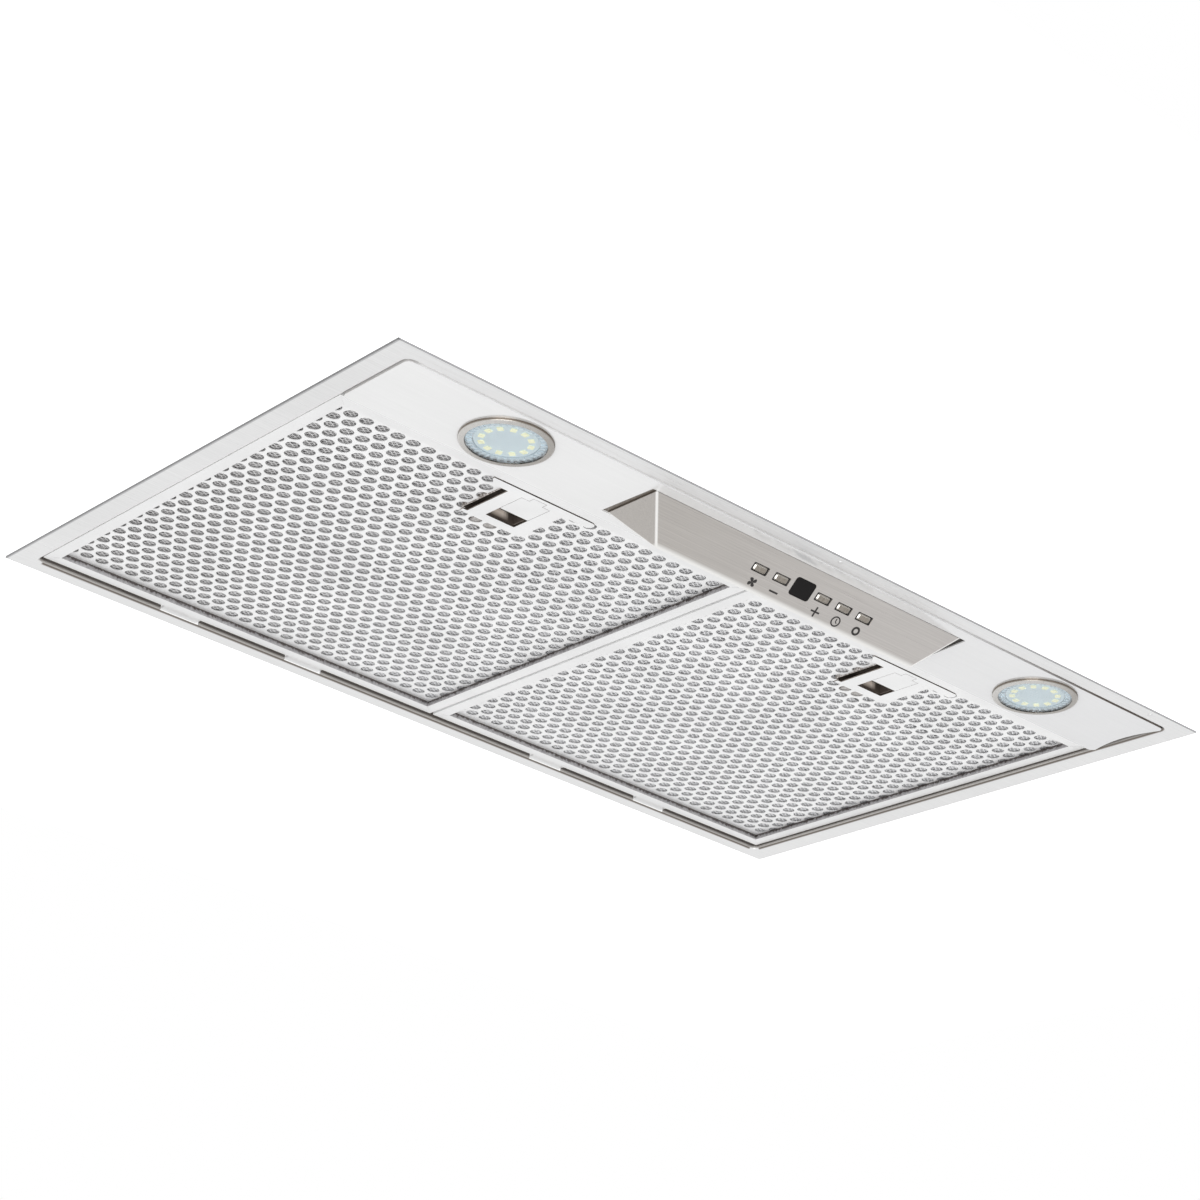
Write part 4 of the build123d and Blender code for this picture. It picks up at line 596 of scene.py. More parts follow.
def strip_steel(metals):
    """Smooth strip with a faint mirror, painted a little darker towards the right; its turned-up edges
    carry a painted shadow, deepest towards the right, also at the left end and along the rear edge.
    """
    material = brushed_metal("strip_steel", metals.steel, (14, 500, 500), (0.06, 0.12),
                             metals.grain * 0.1, spread=0.02)
    tree, shader = tree_of(material)
    low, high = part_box("lamp_strip")
    x, y = coordinate(tree, "X"), coordinate(tree, "Y")
    standing = upright(tree)
    # Painted shade: the right half of the strip darkens a little.
    tone_where(tree, shader, rises(tree, x, 0.0, high.x), (0.93, 0.93, 0.94))
    # Painted shadow on the turned-up edges, which also turn non-metallic.
    right = rises(tree, x, high.x * 0.35, high.x * 0.8)
    corner = value_range(tree, x, 0.45, 0.0, low.x + 4 * MM, low.x + 10 * MM)
    rear = value_range(tree, y, 0.0, 0.3, high.y - 1.5 * MM, high.y - 1.0 * MM)
    shadow = calculate(tree, "MAXIMUM", calculate(tree, "MAXIMUM", right, corner), rear)
    tone_where(tree, shader, product(tree, standing, shadow), (0.20, 0.17, 0.15))
    drive(tree, shader, Metallic=value_range(tree, standing, 0.45, 0.0, 0.0, 1.0))
    return material


class HOOD_OT_sheet_metal(bpy.types.Operator):
    """Finish the flange, the lamp strip, the roof, the blower box and the other sheets"""

    bl_idname = "hood.sheet_metal"
    bl_label = "Sheet metal"

    def execute(self, context):
        metals = context.scene.hood_metals
        coat(flange_steel(metals), "flange_frame")
        coat(strip_steel(metals), "lamp_strip")
        coat(galvanised_sheet("zinc_sheet", metals.zinc), "tray_roof", "bay_bulkhead", "centre_rail",
             "blower_box", "outlet_collar", "mounting_brackets", "motor_bracket")
        coat(satin_metal("screw_zinc", (0.62, 0.61, 0.58), (0.28, 0.42)), "sheet_screws", "motor_screws",
             "control_screws", "damper_pin", "motor_shaft", "latch_spring_left", "latch_spring_right")
        coat(satin_metal("rivet_aluminium", (0.80, 0.80, 0.80), (0.30, 0.45)), "rivets")
        coat(satin_metal("flap_aluminium", metals.aluminium, (0.30, 0.45)),
             "damper_flap_front", "damper_flap_rear", "capacitor")
        return {"FINISHED"}


# ---------------------------------------------------------------- controls
HIP_RUN_X, HIP_RUN_Y = 22.5 * MM, 23.2 * MM      # how far the wedge's hips run in from its corners
WEDGE_SLOPE = math.radians(45.25)


def base_edge():
    """Lowest and highest corners of the wedge's outline in the flange's underside plane."""
    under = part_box("flange_frame")[0].z
    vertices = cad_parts["control_housing"].data.vertices
    points = [v.co for v in vertices if abs(v.co.z - under) < 2e-5]
    return [Vector((pick(p.x for p in points), pick(p.y for p in points), under)) for pick in (min, max)]


def face_matrix(across, down):
    """Place on the housing's front face, from its base edge down the slope."""
    right, normal = Vector((1, 0, 0)), Vector((0, -math.sin(WEDGE_SLOPE), -math.cos(WEDGE_SLOPE)))
    turn = Matrix((right, normal.cross(right), normal)).transposed().to_4x4()
    _, front, under = base_edge()[0]
    return Matrix.Translation((0, front, under)) @ turn @ Matrix.Translation((across, -down, 0))


def mark_bar(name, length, width, depth):
    """Short bar of a mark."""
    return block(name, (-length / 2, -width / 2, 0), (length / 2, width / 2, depth), bevel=depth * 0.4)


def fan_mark(depth):
    """Four swept blades round a hub."""
    blades = []
    for index in range(4):
        start_clean()
        bpy.ops.mesh.primitive_circle_add(vertices=20, radius=1.0, fill_type="NGON")
        blade = named("blade")
        for point in blade.data.vertices:
            along = point.co.x
            point.co.x = along * 1.7 * MM + 1.75 * MM
            point.co.y = point.co.y * (1.1 + 0.45 * along) * MM + 0.4 * MM * along * along
        select_faces(blade)
        extrude(0, 0, depth)
        seat(blade, Matrix.Rotation(math.radians(35 + 90 * index), 4, "Z"))
        blades.append(outward(blade))
    return joined("mark_fan", blades)


def plus_mark(depth):
    """Cross grown out of a small square, one arm at a time."""
    half, arm = 0.6 * MM, 3.0 * MM
    cross = block("mark_plus", (-half, -half, 0), (half, half, depth))
    for way in ((1, 0, 0), (-1, 0, 0), (0, 1, 0), (0, -1, 0)):
        way = Vector(way)
        select_faces(cross, lambda face: face.normal.dot(way) > 0.9
                     and face.center.to_2d().cross(way.to_2d()) ** 2 < (half / 2) ** 2)
        extrude(*(way * arm))
    return outward(cross)


def timer_mark(depth):
    """Clock face with two hands."""
    face = ring("clock", 3.75 * MM, 2.8 * MM, 0, depth, 40)
    long_hand = mark_bar("long_hand", 2.3 * MM, 0.7 * MM, depth)
    seat(long_hand, Matrix.Translation((0, 1.0 * MM, 0)) @ Matrix.Rotation(math.radians(90), 4, "Z"))
    short_hand = mark_bar("short_hand", 1.9 * MM, 0.7 * MM, depth)
    seat(short_hand, Matrix.Rotation(math.radians(-40), 4, "Z") @ Matrix.Translation((0.8 * MM, 0, 0)))
    return joined("mark_timer", [face, long_hand, short_hand])


def hip_highlight(tree):
    """Mask for a painted highlight along the wedge's hips, where its ends meet its long slopes."""
    low, high = base_edge()
    centre_x, centre_y = (low.x + high.x) / 2, low.y + HIP_RUN_Y
    inward = [
        calculate(tree, "SUBTRACT", reach, size_of(
            tree, calculate(tree, "SUBTRACT", coordinate(tree, axis), centre)))
        for axis, centre, reach in (("X", centre_x, (high.x - low.x) / 2), ("Y", centre_y, HIP_RUN_Y))
    ]
    aside = calculate(tree, "SUBTRACT",
                      calculate(tree, "MULTIPLY", inward[0], HIP_RUN_Y / HIP_RUN_X), inward[1])
    return falls(tree, size_of(tree, aside), 0.7 * MM, 1.7 * MM)


def housing_steel(metals):
    """Long brush marks on the wedge, with painted shade darker to the left, painted highlights along the
    hips and the ridge, and painted shade on the base edge, deepest to the right.
    """
    material = brushed_metal("housing_steel", metals.housing, (11, 1500, 1500),
                             (0.26, 0.38), metals.grain * 0.7, spread=0.10)
    tree, shader = tree_of(material)
    low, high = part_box("control_housing")
    x, z = coordinate(tree, "X"), coordinate(tree, "Z")
    # Painted shade: the wedge darkens towards the left.
    tone_where(tree, shader, falls(tree, x, low.x * 0.75, high.x * 0.5), (0.89, 0.885, 0.87))
    # Painted highlights along the hips and along the ridge.
    lift_where(tree, shader, hip_highlight(tree), (0.95, 0.94, 0.92))
    lift_where(tree, shader, falls(tree, z, low.z + 0.3 * MM, low.z + 2.2 * MM), (0.93, 0.92, 0.90))
    # Painted shade on the hem where the wedge enters the strip, deepest towards the right.
    hem = rises(tree, z, -1.1 * MM, -0.5 * MM)
    tone_where(tree, shader, hem, (0.46, 0.43, 0.40))
    tone_where(tree, shader, product(tree, hem, rises(tree, x, 0.0, high.x * 0.8)), (0.12, 0.11, 0.10))
    return material


def key_satin():
    """Keys shaded by painting from their face directions: a darker flat top with painted reflection
    streaks, pale bevels, and painted black shadow on the faces towards the upper left.
    """
    material = satin_metal("key_satin", (0.66, 0.64, 0.60), (0.25, 0.38), metallic=0.85)
    tree, shader = tree_of(material)
    normal, turn = surface(tree, "Normal"), face_matrix(0, 0).to_3x3()
    top = rises(tree, dot_product(tree, normal, turn @ Vector((0, 0, 1))), 0.93, 0.98)
    upper_left_shadow = rises(tree, dot_product(tree, normal, turn @ Vector((-0.85, 0.53, 0))), 0.62, 0.78)
    reflection_streaks = value_range(tree, noise(tree, (900, 60, 60), detail=2.0), 0.0, 1.0)
    # Painted shade and reflection: the flat top is darkened and streaked; faces turned to the upper left
    # are painted black as shadow.
    tone_where(tree, shader, top, (0.54, 0.51, 0.48))
    tone_where(tree, shader, product(tree, top, reflection_streaks), (0.72, 0.70, 0.68))
    tone_where(tree, shader, upper_left_shadow, (0.05, 0.045, 0.04))
    return material


class HOOD_OT_controls(bpy.types.Operator):
    """Finish the key housing, its keys and display, and print the marks below the keys"""

    bl_idname = "hood.controls"
    bl_label = "Key panel"

    def execute(self, context):
        metals, controls = context.scene.hood_metals, context.scene.hood_controls
        coat(housing_steel(metals), "control_housing")
        coat(key_satin(), *("button_" + name for name in KEYS))
        black = moulded_plastic("display_black", (0.006, 0.005, 0.005), (0.30, 0.40), 300, 0.00001)
        tree_of(black)[1].inputs["Specular IOR Level"].default_value = 0.16
        coat(black, "display_window")
        coat(moulded_plastic("carrier_black", (0.02, 0.02, 0.022)),
             "control_carrier", "control_switches")
        coat(board_green("circuit_board"), "control_board")
        depth = controls.mark_depth
        marks = {
            "fan": fan_mark(depth),
            "minus": mark_bar("mark_minus", 7.2 * MM, 1.25 * MM, depth),
            "plus": plus_mark(depth),
            "timer": timer_mark(depth),
            "light": ring("mark_light", 3.2 * MM, 1.7 * MM, 0, depth, 40),
        }
        ink = moulded_plastic("mark_ink", controls.mark_colour, (0.35, 0.5), 2500, 0.000005)
        for name, mark in marks.items():
            low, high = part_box("button_" + name)
            seat(mark, face_matrix((low.x + high.x) / 2 - controls.mark_shift, controls.mark_drop))
            dress(mark, ink, "tray")
        return {"FINISHED"}


# ---------------------------------------------------------------- lamps
def lamp_centre(side):
    """Axis of a lamp, and the height of its board."""
    low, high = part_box("lamp_board_" + side)
    return (low.x + high.x) / 2, (low.y + high.y) / 2, low.z


def lamp_rim(side, teeth):
    """Faceted rim between the lamp's board and its glass."""
    x, y, board_z = lamp_centre(side)
    inner, outer = 20.6 * MM, 24.9 * MM
    rim = ring("lamp_rim_" + side, outer, inner, board_z - 0.4 * MM, board_z + 0.9 * MM, teeth * 2)

    def every_other(face):
        turn = math.atan2(face.center.y, face.center.x) / (2 * math.pi) * teeth * 2
        return face.normal.z < -0.9 and int(math.floor(turn)) % 2 == 0

    select_faces(rim, every_other)
    bpy.ops.mesh.inset(thickness=0.12 * MM, use_individual=True)
    extrude(0, 0, -0.5 * MM)
    seat(rim, Matrix.Translation((x, y, 0)))
    return outward(rim)


def bezel_steel(side, metals):
    """Satin ring with painted shade: a brown-grey outer wall, and a face that greys with distance from
    the window side.
    """
    material = brushed_metal(f"bezel_steel_{side}", (0.86, 0.85, 0.83), (300, 300, 900),
                             (0.22, 0.36), metals.grain)
    tree, shader = tree_of(material)
    low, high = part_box("lamp_bezel_" + side)
    # Painted shade: the upright walls darken to brown-grey, and the face darkens towards the right.
    tone_where(tree, shader, upright(tree), (0.36, 0.32, 0.28))
    away = value_range(tree, coordinate(tree, "X"), 0.45, 1.0, low.x + 5 * MM, high.x - 16 * MM)
    tone_where(tree, shader, away, (0.50, 0.48, 0.46))
    return material


class HOOD_OT_lamps(bpy.types.Operator):
    """Finish both lamps, with their faceted rims"""

    bl_idname = "hood.lamps"
    bl_label = "Lamps"

    def execute(self, context):
        metals, lamps = context.scene.hood_metals, context.scene.hood_lamps
        glass = clear_glass("lamp_glass", (0.97, 0.99, 1.0))
        # A faint painted glow lifts the brightness of the lamp plate and of the light chips.
        plate = glowing(moulded_plastic("lamp_plate_painted_glow", lamps.plate, (0.35, 0.5), 700, 0.00001),
                        lamps.plate, 0.11)
        chip = glowing(moulded_plastic("light_chip", lamps.chip, (0.2, 0.3), 1500, 0.00001),
                       lamps.chip, 0.30)
        rim = satin_metal("lamp_rim", (0.76, 0.88, 0.95), (0.12, 0.25), metallic=0.25)
        sink = satin_metal("heat_sink", (0.82, 0.82, 0.83), (0.3, 0.45))
        ceramic = moulded_plastic("ceramic", (0.86, 0.85, 0.81), (0.25, 0.4), 400)
        for side in SIDES:
            coat(bezel_steel(side, metals), "lamp_bezel_" + side)
            coat(glass, "lamp_lens_" + side)
            coat(plate, "lamp_board_" + side)
            coat(chip, "lamp_chips_" + side)
            coat(sink, "lamp_body_" + side)
            coat(ceramic, "lamp_socket_" + side)
            dress(smooth(lamp_rim(side, lamps.teeth)), rim, "tray")
        return {"FINISHED"}


# ---------------------------------------------------------------- filters
def strand_patch(name, low, high, z, long_way, short_way, strand):
    """Diamond mesh over a rectangle: one zigzag strand, repeated along and across."""
    columns = max(1, int((high.x - low.x) / long_way))
    rows = max(1, int((high.y - low.y) / short_way))
    start_clean()
    quarter = math.radians(90)
    bpy.ops.mesh.primitive_circle_add(vertices=3, radius=strand * 0.55, fill_type="NOTHING",
                                      location=(0, 0, 0), rotation=(quarter, 0, quarter))
    wire = seat(named(name))
    bpy.ops.object.mode_set(mode="EDIT")
    bpy.ops.mesh.select_mode(type="EDGE")
    bpy.ops.mesh.select_all(action="SELECT")
    for rise in (1, -1):
        bpy.ops.mesh.extrude_region_move(
            TRANSFORM_OT_translate={"value": (long_way / 2, rise * short_way / 2, 0)})
    bpy.ops.object.mode_set(mode="OBJECT")
    repeat(wire, columns, (long_way, 0, 0), merge=True)
    for end in (0.0, columns * long_way):
        select_edges(wire, lambda a, b: abs(a.x - end) < 1e-6 and abs(b.x - end) < 1e-6)
        bpy.ops.mesh.edge_face_add()
        bpy.ops.object.mode_set(mode="OBJECT")
    outward(wire)
    second = twin(wire, "second_strand",
                  Matrix.Translation((long_way / 2, short_way / 2, strand * 0.15)))
    select_faces(second)
    bpy.ops.mesh.bisect(plane_co=(columns * long_way, 0, 0), plane_no=(1, 0, 0), clear_outer=True,
                        use_fill=True)
    bpy.ops.object.mode_set(mode="OBJECT")
    wire = joined(name, [wire, second])
    repeat(wire, rows, (0, short_way, 0))
    span_x, span_y = columns * long_way, rows * short_way
    return seat(wire, Matrix.Translation(
        ((low.x + high.x - span_x) / 2, (low.y + high.y - span_y) / 2, z)))


def crumple(obj, amount, size, seed):
    """Let the strands wander smoothly in all three directions."""
    take(obj)
    for index, way in enumerate(("X", "Y", "Z")):
        clouds = bpy.data.textures.new(f"wander_{seed}_{way}", "CLOUDS")
        clouds.noise_scale = size * (1 + 0.13 * index + 0.07 * seed)
        tool = obj.modifiers.new("wander", "DISPLACE")
        tool.texture = clouds
        tool.texture_coords = "LOCAL"
        tool.direction = way
        tool.strength = amount * (0.25 if way == "Z" else 1.0)
        tool.mid_level = 0.5
        bpy.ops.object.modifier_apply(modifier=tool.name)


PAN_LEFT, PAN_RIGHT = 25.6 * MM, 21.2 * MM       # latch pan, from the filter's centre line
PAN_GAP = 0.8 * MM                               # latch pan to the mesh


def mesh_backing(name, side):
    """Last layer of the pack, a thin sheet whose finish shows its strands over painted shade, left open
    round the pan.
    """
    low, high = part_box("filter_mesh_" + side)
    centre = (low.x + high.x) / 2
    left, right = centre - PAN_LEFT - 0.2 * MM, centre + PAN_RIGHT + 0.1 * MM
    pan_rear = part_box("latch_housing_" + side)[1].y + PAN_GAP + 0.1 * MM
    spans = (
        ((low.x, low.y), (left, high.y)),
        ((right, low.y), (high.x, high.y)),
        ((left, pan_rear), (right, high.y)),
        ((left, low.y), (right, low.y + 18 * MM)),
    )
    return joined(name, [
        block(f"{name}_{index}", (*start, high.z - 0.3 * MM), (*end, high.z), 0.05 * MM, 1)
        for index, (start, end) in enumerate(spans)
    ])


def mesh_layer(name, side, index, values):
    """One layer of expanded mesh, left open round the latch pan."""
    low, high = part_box("filter_mesh_" + side)
    pan_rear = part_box("latch_housing_" + side)[1].y + PAN_GAP
    plate_rear = pan_rear - 16 * MM
    centre, spring, edge = (low.x + high.x) / 2, 9.8 * MM, 1.5 * MM
    left, right, front, rear = low.x + edge, high.x - edge, low.y + edge, high.y - edge
    z = low.z + (high.z - low.z) * (0.1 + 0.4 * index)
    long_way, short_way = values.cell_long, values.cell_short
    if index == 1:
        long_way, short_way = short_way * 1.1, long_way * 0.95
    areas = (
        ((left, pan_rear), (right, rear)),
        ((left, front), (centre - PAN_LEFT, plate_rear)),
        ((centre + PAN_RIGHT, front), (right, plate_rear)),
        ((left, plate_rear), (centre - spring, pan_rear)),
        ((centre + spring, plate_rear), (right, pan_rear)),
    )
    layer = joined(name, [
        strand_patch(f"{name}_{count}", Vector(start), Vector(end), z, long_way, short_way,
                     values.strand)
        for count, (start, end) in enumerate(areas)
    ])
    crumple(layer, values.crumple, 0.005, index + (3 if side == "right" else 0))
    return layer


def foil_over_painted_shade(name, colour):
    """Foil strands over dark gaps painted as shade, in slanting diamonds."""
    material, tree, shader = blank(name)
    shader.inputs["Metallic"].default_value = 0.3
    cells = texture(tree, "ShaderNodeTexVoronoi", (260, 460, 260), turn=(0, 0, math.radians(28)))
    cells.feature = "DISTANCE_TO_EDGE"
    edges = cells.outputs["Distance"]
    # The dark gaps are painted shade, standing for the dark seen through the mesh.
    drive(tree, shader, Base_Color=two_tone(tree, edges, colour, tint(colour, 0.25), 0.08, 0.42),
          Roughness=value_range(tree, noise(tree, 900, detail=3.0), 0.4, 0.65))
    relief(tree, shader, edges, 0.6, 0.0004)
    return material


def filter_rim(metals):
    """Folded rim; its inner wall carries painted shade that deepens upwards, with a ragged painted dark
    line where the mesh is cut.
    """
    material = satin_metal("filter_rim", tint(metals.aluminium, 1.03), (0.28, 0.42))
    tree, shader = tree_of(material)
    low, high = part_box("filter_frame_right")
    member, tabs = 5 * MM, 12.4 * MM     # into the frame's member; its rear member with the tabs
    across = size_of(tree, coordinate(tree, "X"))
    inside = product(tree, between(tree, across, low.x + member, high.x - member),
                     between(tree, coordinate(tree, "Y"), low.y + member, high.y - tabs), upright(tree))
    ragged = calculate(tree, "MULTIPLY", noise(tree, 420, detail=2.0), 5.0 * MM)
    height = calculate(tree, "ADD", coordinate(tree, "Z"), ragged)
    shade = rises(tree, height, low.z + 2.6 * MM, low.z + 5.4 * MM)
    dark = rises(tree, height, low.z + 4.7 * MM, low.z + 5.2 * MM)
    # Painted shade on the inner wall, darker higher up, ending in a ragged painted dark line; the wall
    # also turns less metallic.
    tone_where(tree, shader, inside, (0.50, 0.49, 0.50))
    tone_where(tree, shader, product(tree, inside, shade), (0.38, 0.37, 0.37))
    tone_where(tree, shader, product(tree, inside, dark), (0.36, 0.31, 0.29))
    drive(tree, shader, Metallic=value_range(tree, upright(tree), 1.0, 0.2, 0.0, 1.0))
    return material


class HOOD_OT_filters(bpy.types.Operator):
    """Finish the filters and lay the expanded mesh behind their faces"""

    bl_idname = "hood.filters"
    bl_label = "Filters"

    def execute(self, context):
        metals, values = context.scene.hood_metals, context.scene.hood_mesh
        rim = filter_rim(metals)
        face = satin_metal("filter_face", tint(metals.aluminium, 1.04), (0.32, 0.48), speckle=700,
                           metallic=0.55)
        foil = satin_metal("mesh_foil", (0.84, 0.84, 0.85), (0.40, 0.60), speckle=300, depth=0.0001,
                           metallic=0.35)
        tree, shader = tree_of(foil)
        # Painted shade: the mesh of the left filter darkens towards its left end.
        tone_where(tree, shader, falls(tree, coordinate(tree, "X"), -0.33, -0.02), (0.74, 0.73, 0.72))
        strand_sheet = foil_over_painted_shade("mesh_backing", (0.70, 0.70, 0.71))
        for side in SIDES:
            coat(rim, "filter_frame_" + side)
            coat(face, "filter_face_" + side)
            layers = [mesh_layer(f"expanded_mesh_{side}_{index}", side, index, values)
                      for index in range(2)]
            backing = mesh_backing("mesh_backing_" + side, side)
            for piece, finish in ((backing, strand_sheet), *((layer, foil) for layer in layers)):
                dress(piece, finish, "filter_" + side)
                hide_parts("filter_mesh_" + side)
        return {"FINISHED"}


# ---------------------------------------------------------------- latches
def grip_light(tree, side):
    """Mask for a painted pool of light on the left of the slider's pull wall, where a finger grips it,
    in upright streaks.
    """
    low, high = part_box("latch_slider_" + side)
    back, centre = low.z + 0.95 * MM, (low.x + high.x) / 2      # back of the slider's panel
    streaks = calculate(tree, "MULTIPLY", noise(tree, (700, 60, 60), detail=2.0), 6 * MM)
    from_left = calculate(tree, "ADD", coordinate(tree, "X"), streaks)
    return product(tree, falls(tree, from_left, centre + 5 * MM, centre + 9 * MM),
                   rises(tree, coordinate(tree, "Z"), back + 0.8 * MM, back + 4.5 * MM))


SHADOW_BROWN = (0.085, 0.068, 0.057)


def latch_metal(name, colour, side, pan=False):
    """Satin plate with painted shade on its edges and a painted brown-black shadow behind it; a pan is
    grey outside, with dark mottled strands of painted shade.
    """
    material = satin_metal(name, colour, (0.34, 0.5))
    tree, shader = tree_of(material)
    low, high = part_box("latch_housing_" + side)
    plate_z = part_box("latch_slider_" + side)[0].z
    z = coordinate(tree, "Z")
    edges = product(tree, upright(tree), between(tree, z, -1, plate_z + 0.85 * MM))
    behind = rises(tree, z, plate_z + 0.8 * MM, plate_z + 0.95 * MM)
    # Painted shade on the plate's upright edges; painted shadow on everything behind the plate, which
    # also turns non-metallic.
    tone_where(tree, shader, edges, (0.38, 0.33, 0.29))
    drive(tree, shader, Metallic=opposite(tree, behind))
    if not pan:
        tone_where(tree, shader, behind, SHADOW_BROWN)
        return material
    middle = ((low.x + high.x) / 2 - 2.2 * MM, (low.y + high.y) / 2 + 8 * MM, plate_z + 4 * MM)
    offset = feed(tree, "ShaderNodeVectorMath", "SUBTRACT", (surface(tree), middle))
    facing = dot_product(tree, offset.outputs["Vector"], surface(tree, "Normal"))
    inside = falls(tree, facing, -0.2 * MM, 0.2 * MM)
    outside = product(tree, behind, opposite(tree, inside))
    strands = rises(tree, noise(tree, 800, detail=3.0), 0.45, 0.55)
    # The pan's inside is painted shadow; its outside, seen through the slot, is painted grey with dark
    # mottled strands, as the shaded mesh there.
    tone_where(tree, shader, product(tree, behind, inside), SHADOW_BROWN)
    tone_where(tree, shader, outside, (0.85, 0.81, 0.78))
    tone_where(tree, shader, product(tree, outside, strands), (0.34, 0.31, 0.29))
    return material


class HOOD_OT_latches(bpy.types.Operator):
    """Finish the filter latches"""

    bl_idname = "hood.latches"
    bl_label = "Latches"

    def execute(self, context):
        metals = context.scene.hood_metals
        for side in SIDES:
            plate = latch_metal(f"latch_plate_{side}", tint(metals.aluminium, 1.06), side, pan=True)
            slider = latch_metal(f"latch_slider_{side}", tint(metals.aluminium, 1.05), side)
            tree, shader = tree_of(slider)
            # Painted light: a pale beige patch on the pull wall, inside the painted shadow of the
            # window.
            lift_where(tree, shader, grip_light(tree, side), (0.95, 0.84, 0.74))
            coat(plate, "latch_housing_" + side)
            coat(slider, "latch_slider_" + side)
        return {"FINISHED"}


# ---------------------------------------------------------------- blower
def corner_seams():
    """Lapped seams with rivets down the blower box's corners."""
    low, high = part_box("blower_box")
    lid = [v.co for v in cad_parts["blower_box"].data.vertices if v.co.z > high.z - 2e-5]
    ends, sides = ([pick(p[axis] for p in lid) for pick in (min, max)] for axis in (0, 1))
    lap, sheet, inset, rivets = 11 * MM, 0.8 * MM, 2 * MM, 5
    pieces = []
    for x, into in zip(ends, (1, -1)):
        for y, out in zip(sides, (-1, 1)):
            near, far = sorted((x + into * inset, x + into * (inset + lap)))
            back, front = sorted((y - out * 0.1 * MM, y + out * sheet))
            pieces.append(block("seam", (near, back, low.z + 2.5 * MM), (far, front, high.z - 3 * MM),
                                bevel=0.3 * MM))
            for index in range(rivets):
                z = low.z + (high.z - low.z) * (index + 0.5) / rivets
                start_clean()
                bpy.ops.mesh.primitive_cylinder_add(
                    vertices=20, radius=2.2 * MM, depth=1.6 * MM, rotation=(math.radians(90), 0, 0),
                    location=((near + far) / 2, y + out * sheet, z))
                rivet = seat(named("seam_rivet"))
                round_edges(rivet, 0.5 * MM, 3)
                pieces.append(rivet)
    return joined("blower_box_seams", pieces)


class HOOD_OT_blower(bpy.types.Operator):
    """Finish the blower's scroll, wheel and motor"""

    bl_idname = "hood.blower"
    bl_label = "Blower"

    def execute(self, context):
        coat(moulded_plastic("scroll_plastic", (0.045, 0.045, 0.05)), "scroll_left", "scroll_right")
        coat(moulded_plastic("wheel_plastic", (0.09, 0.095, 0.10)), "impeller")
        coat(satin_metal("motor_paint", (0.10, 0.105, 0.11), (0.35, 0.5), metallic=0.4), "motor")
        dress(smooth(corner_seams()), bpy.data.materials["zinc_sheet"], "tray")
        return {"FINISHED"}


# ---------------------------------------------------------------- electrics
class HOOD_OT_electrics(bpy.types.Operator):
    """Finish the terminal box, its gland and the power module"""

    bl_idname = "hood.electrics"
    bl_label = "Electrics"

    def execute(self, context):
        coat(moulded_plastic("box_plastic", (0.70, 0.70, 0.68)),
             "terminal_box", "terminal_lid", "power_module")
        coat(moulded_plastic("gland_black", (0.02, 0.02, 0.022)), "cable_gland")
        return {"FINISHED"}


# ---------------------------------------------------------------- stage
def pale(name, grey, roughness):
    """Plain pale finish of the stage."""
    material, _, shader = blank(name)
    shader.inputs["Base Color"].default_value = (grey, grey, grey, 1)
    shader.inputs["Roughness"].default_value = roughness
    return material


def soft_light(name, place, aim, size, power):
    """Large area light."""
    start_clean()
    bpy.ops.object.light_add(type="AREA", location=place)
    lamp = bpy.context.object
    lamp.name = name
    lamp.data.shape = "RECTANGLE"
    lamp.data.size, lamp.data.size_y = size
    lamp.data.energy = power
    lamp.rotation_euler = (Vector(aim) - Vector(place)).to_track_quat("-Z", "Y").to_euler()
    return lamp


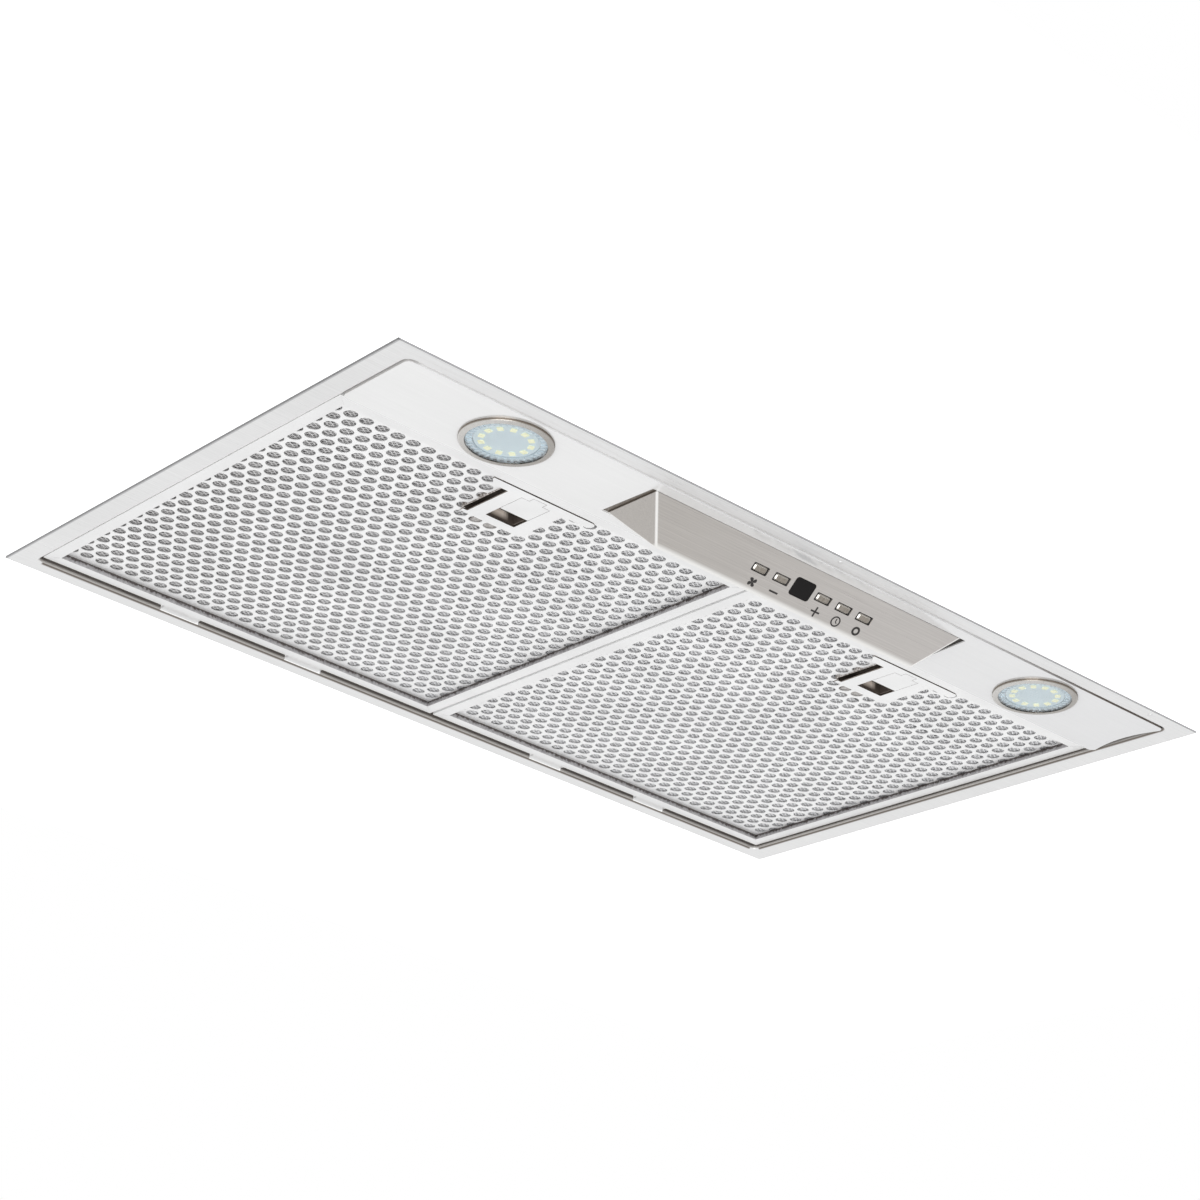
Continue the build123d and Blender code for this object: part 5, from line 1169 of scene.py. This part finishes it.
class HOOD_OT_stage(bpy.types.Operator):
    """Pale floor, white ceiling panel with its cut-out, soft light and the camera"""

    bl_idname = "hood.stage"
    bl_label = "Stage"

    def execute(self, context):
        stage = context.scene.hood_stage
        low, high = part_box("flange_frame")
        start_clean()
        bpy.ops.mesh.primitive_plane_add(size=16, location=(0, 0, -stage.floor_drop))
        floor = seat(named("floor"))
        floor.data.materials.append(pale("floor_pale", 0.86, 0.8))

        start_clean()
        bpy.ops.mesh.primitive_plane_add(size=1, location=(0, 0, 0.35 * MM))
        panel = named("ceiling_panel")
        panel.scale = (high.x - low.x - 2 * MM, high.y - low.y - 2 * MM, 1)
        seat(panel)
        select_edges(panel, lambda a, b: True)
        size = high - low
        grow = Vector((1 + 2 * stage.panel_reach / size.x, 1 + 2 * stage.panel_reach / size.y, 1))
        bpy.ops.mesh.extrude_edges_move()
        bpy.ops.transform.resize(value=grow)
        bpy.ops.object.mode_set(mode="OBJECT")
        select_faces(panel, lambda face: abs(face.center.x) < 1e-4 and abs(face.center.y) < 1e-4)
        bpy.ops.mesh.delete(type="FACE")
        bpy.ops.object.mode_set(mode="OBJECT")
        panel.data.materials.append(glowing(pale("panel_white", 0.9, 0.5), (1, 1, 1), 0.6))

        world = bpy.data.worlds.new("studio")
        world.use_nodes = True
        sky = world.node_tree.nodes["Background"]
        sky.inputs["Color"].default_value = (1, 1, 1, 1)
        sky.inputs["Strength"].default_value = 1.0
        context.scene.world = world
        soft_light("key_light", (-1.6, -1.4, -1.2), (0, 0, 0), (1.6, 1.2), 18)
        soft_light("top_light", (0.8, -0.8, 1.8), (0, 0, 0.1), (1.5, 1.5), 9)

        start_clean()
        bpy.ops.object.camera_add(location=stage.camera_place, rotation=stage.camera_turn)
        camera = bpy.context.object
        camera.name = "camera"
        camera.data.sensor_width = 36.0
        camera.data.lens = stage.lens
        camera.data.clip_start, camera.data.clip_end = 0.05, 30
        context.scene.camera = camera
        context.scene.view_settings.view_transform = "Standard"
        return {"FINISHED"}


# ---------------------------------------------------------------- panel and registration
OPERATORS = (
    HOOD_OT_sheet_metal, HOOD_OT_controls, HOOD_OT_lamps, HOOD_OT_filters, HOOD_OT_latches,
    HOOD_OT_blower, HOOD_OT_electrics, HOOD_OT_stage,
)


class HOOD_PT_sidebar(bpy.types.Panel):
    """Values and steps of the range hood insert"""

    bl_idname = "HOOD_PT_sidebar"
    bl_label = "Range hood insert"
    bl_space_type = "VIEW_3D"
    bl_region_type = "UI"
    bl_category = "Range hood"

    def draw(self, context):
        layout = self.layout
        for name in GROUPS:
            group = getattr(context.scene, name)
            column = layout.column()
            for key in group.bl_rna.properties.keys():
                if key not in ("rna_type", "name"):
                    column.prop(group, key)
        for step in OPERATORS:
            layout.operator(step.bl_idname)


GROUPS = {
    "hood_metals": HoodMetals,
    "hood_controls": HoodControls,
    "hood_lamps": HoodLamps,
    "hood_mesh": HoodMesh,
    "hood_stage": HoodStage,
}


def register():
    for name, group in GROUPS.items():
        bpy.utils.register_class(group)
        setattr(bpy.types.Scene, name, bpy.props.PointerProperty(type=group))
    for step in (*OPERATORS, HOOD_PT_sidebar):
        bpy.utils.register_class(step)


def unregister():
    for step in reversed((*OPERATORS, HOOD_PT_sidebar)):
        bpy.utils.unregister_class(step)
    for name, group in GROUPS.items():
        delattr(bpy.types.Scene, name)
        bpy.utils.unregister_class(group)


def main():
    register()
    bpy.ops.hood.sheet_metal()
    bpy.ops.hood.controls()
    bpy.ops.hood.lamps()
    bpy.ops.hood.filters()
    bpy.ops.hood.latches()
    bpy.ops.hood.blower()
    bpy.ops.hood.electrics()
    bpy.ops.hood.stage()


if __name__ == "__main__":
    main()
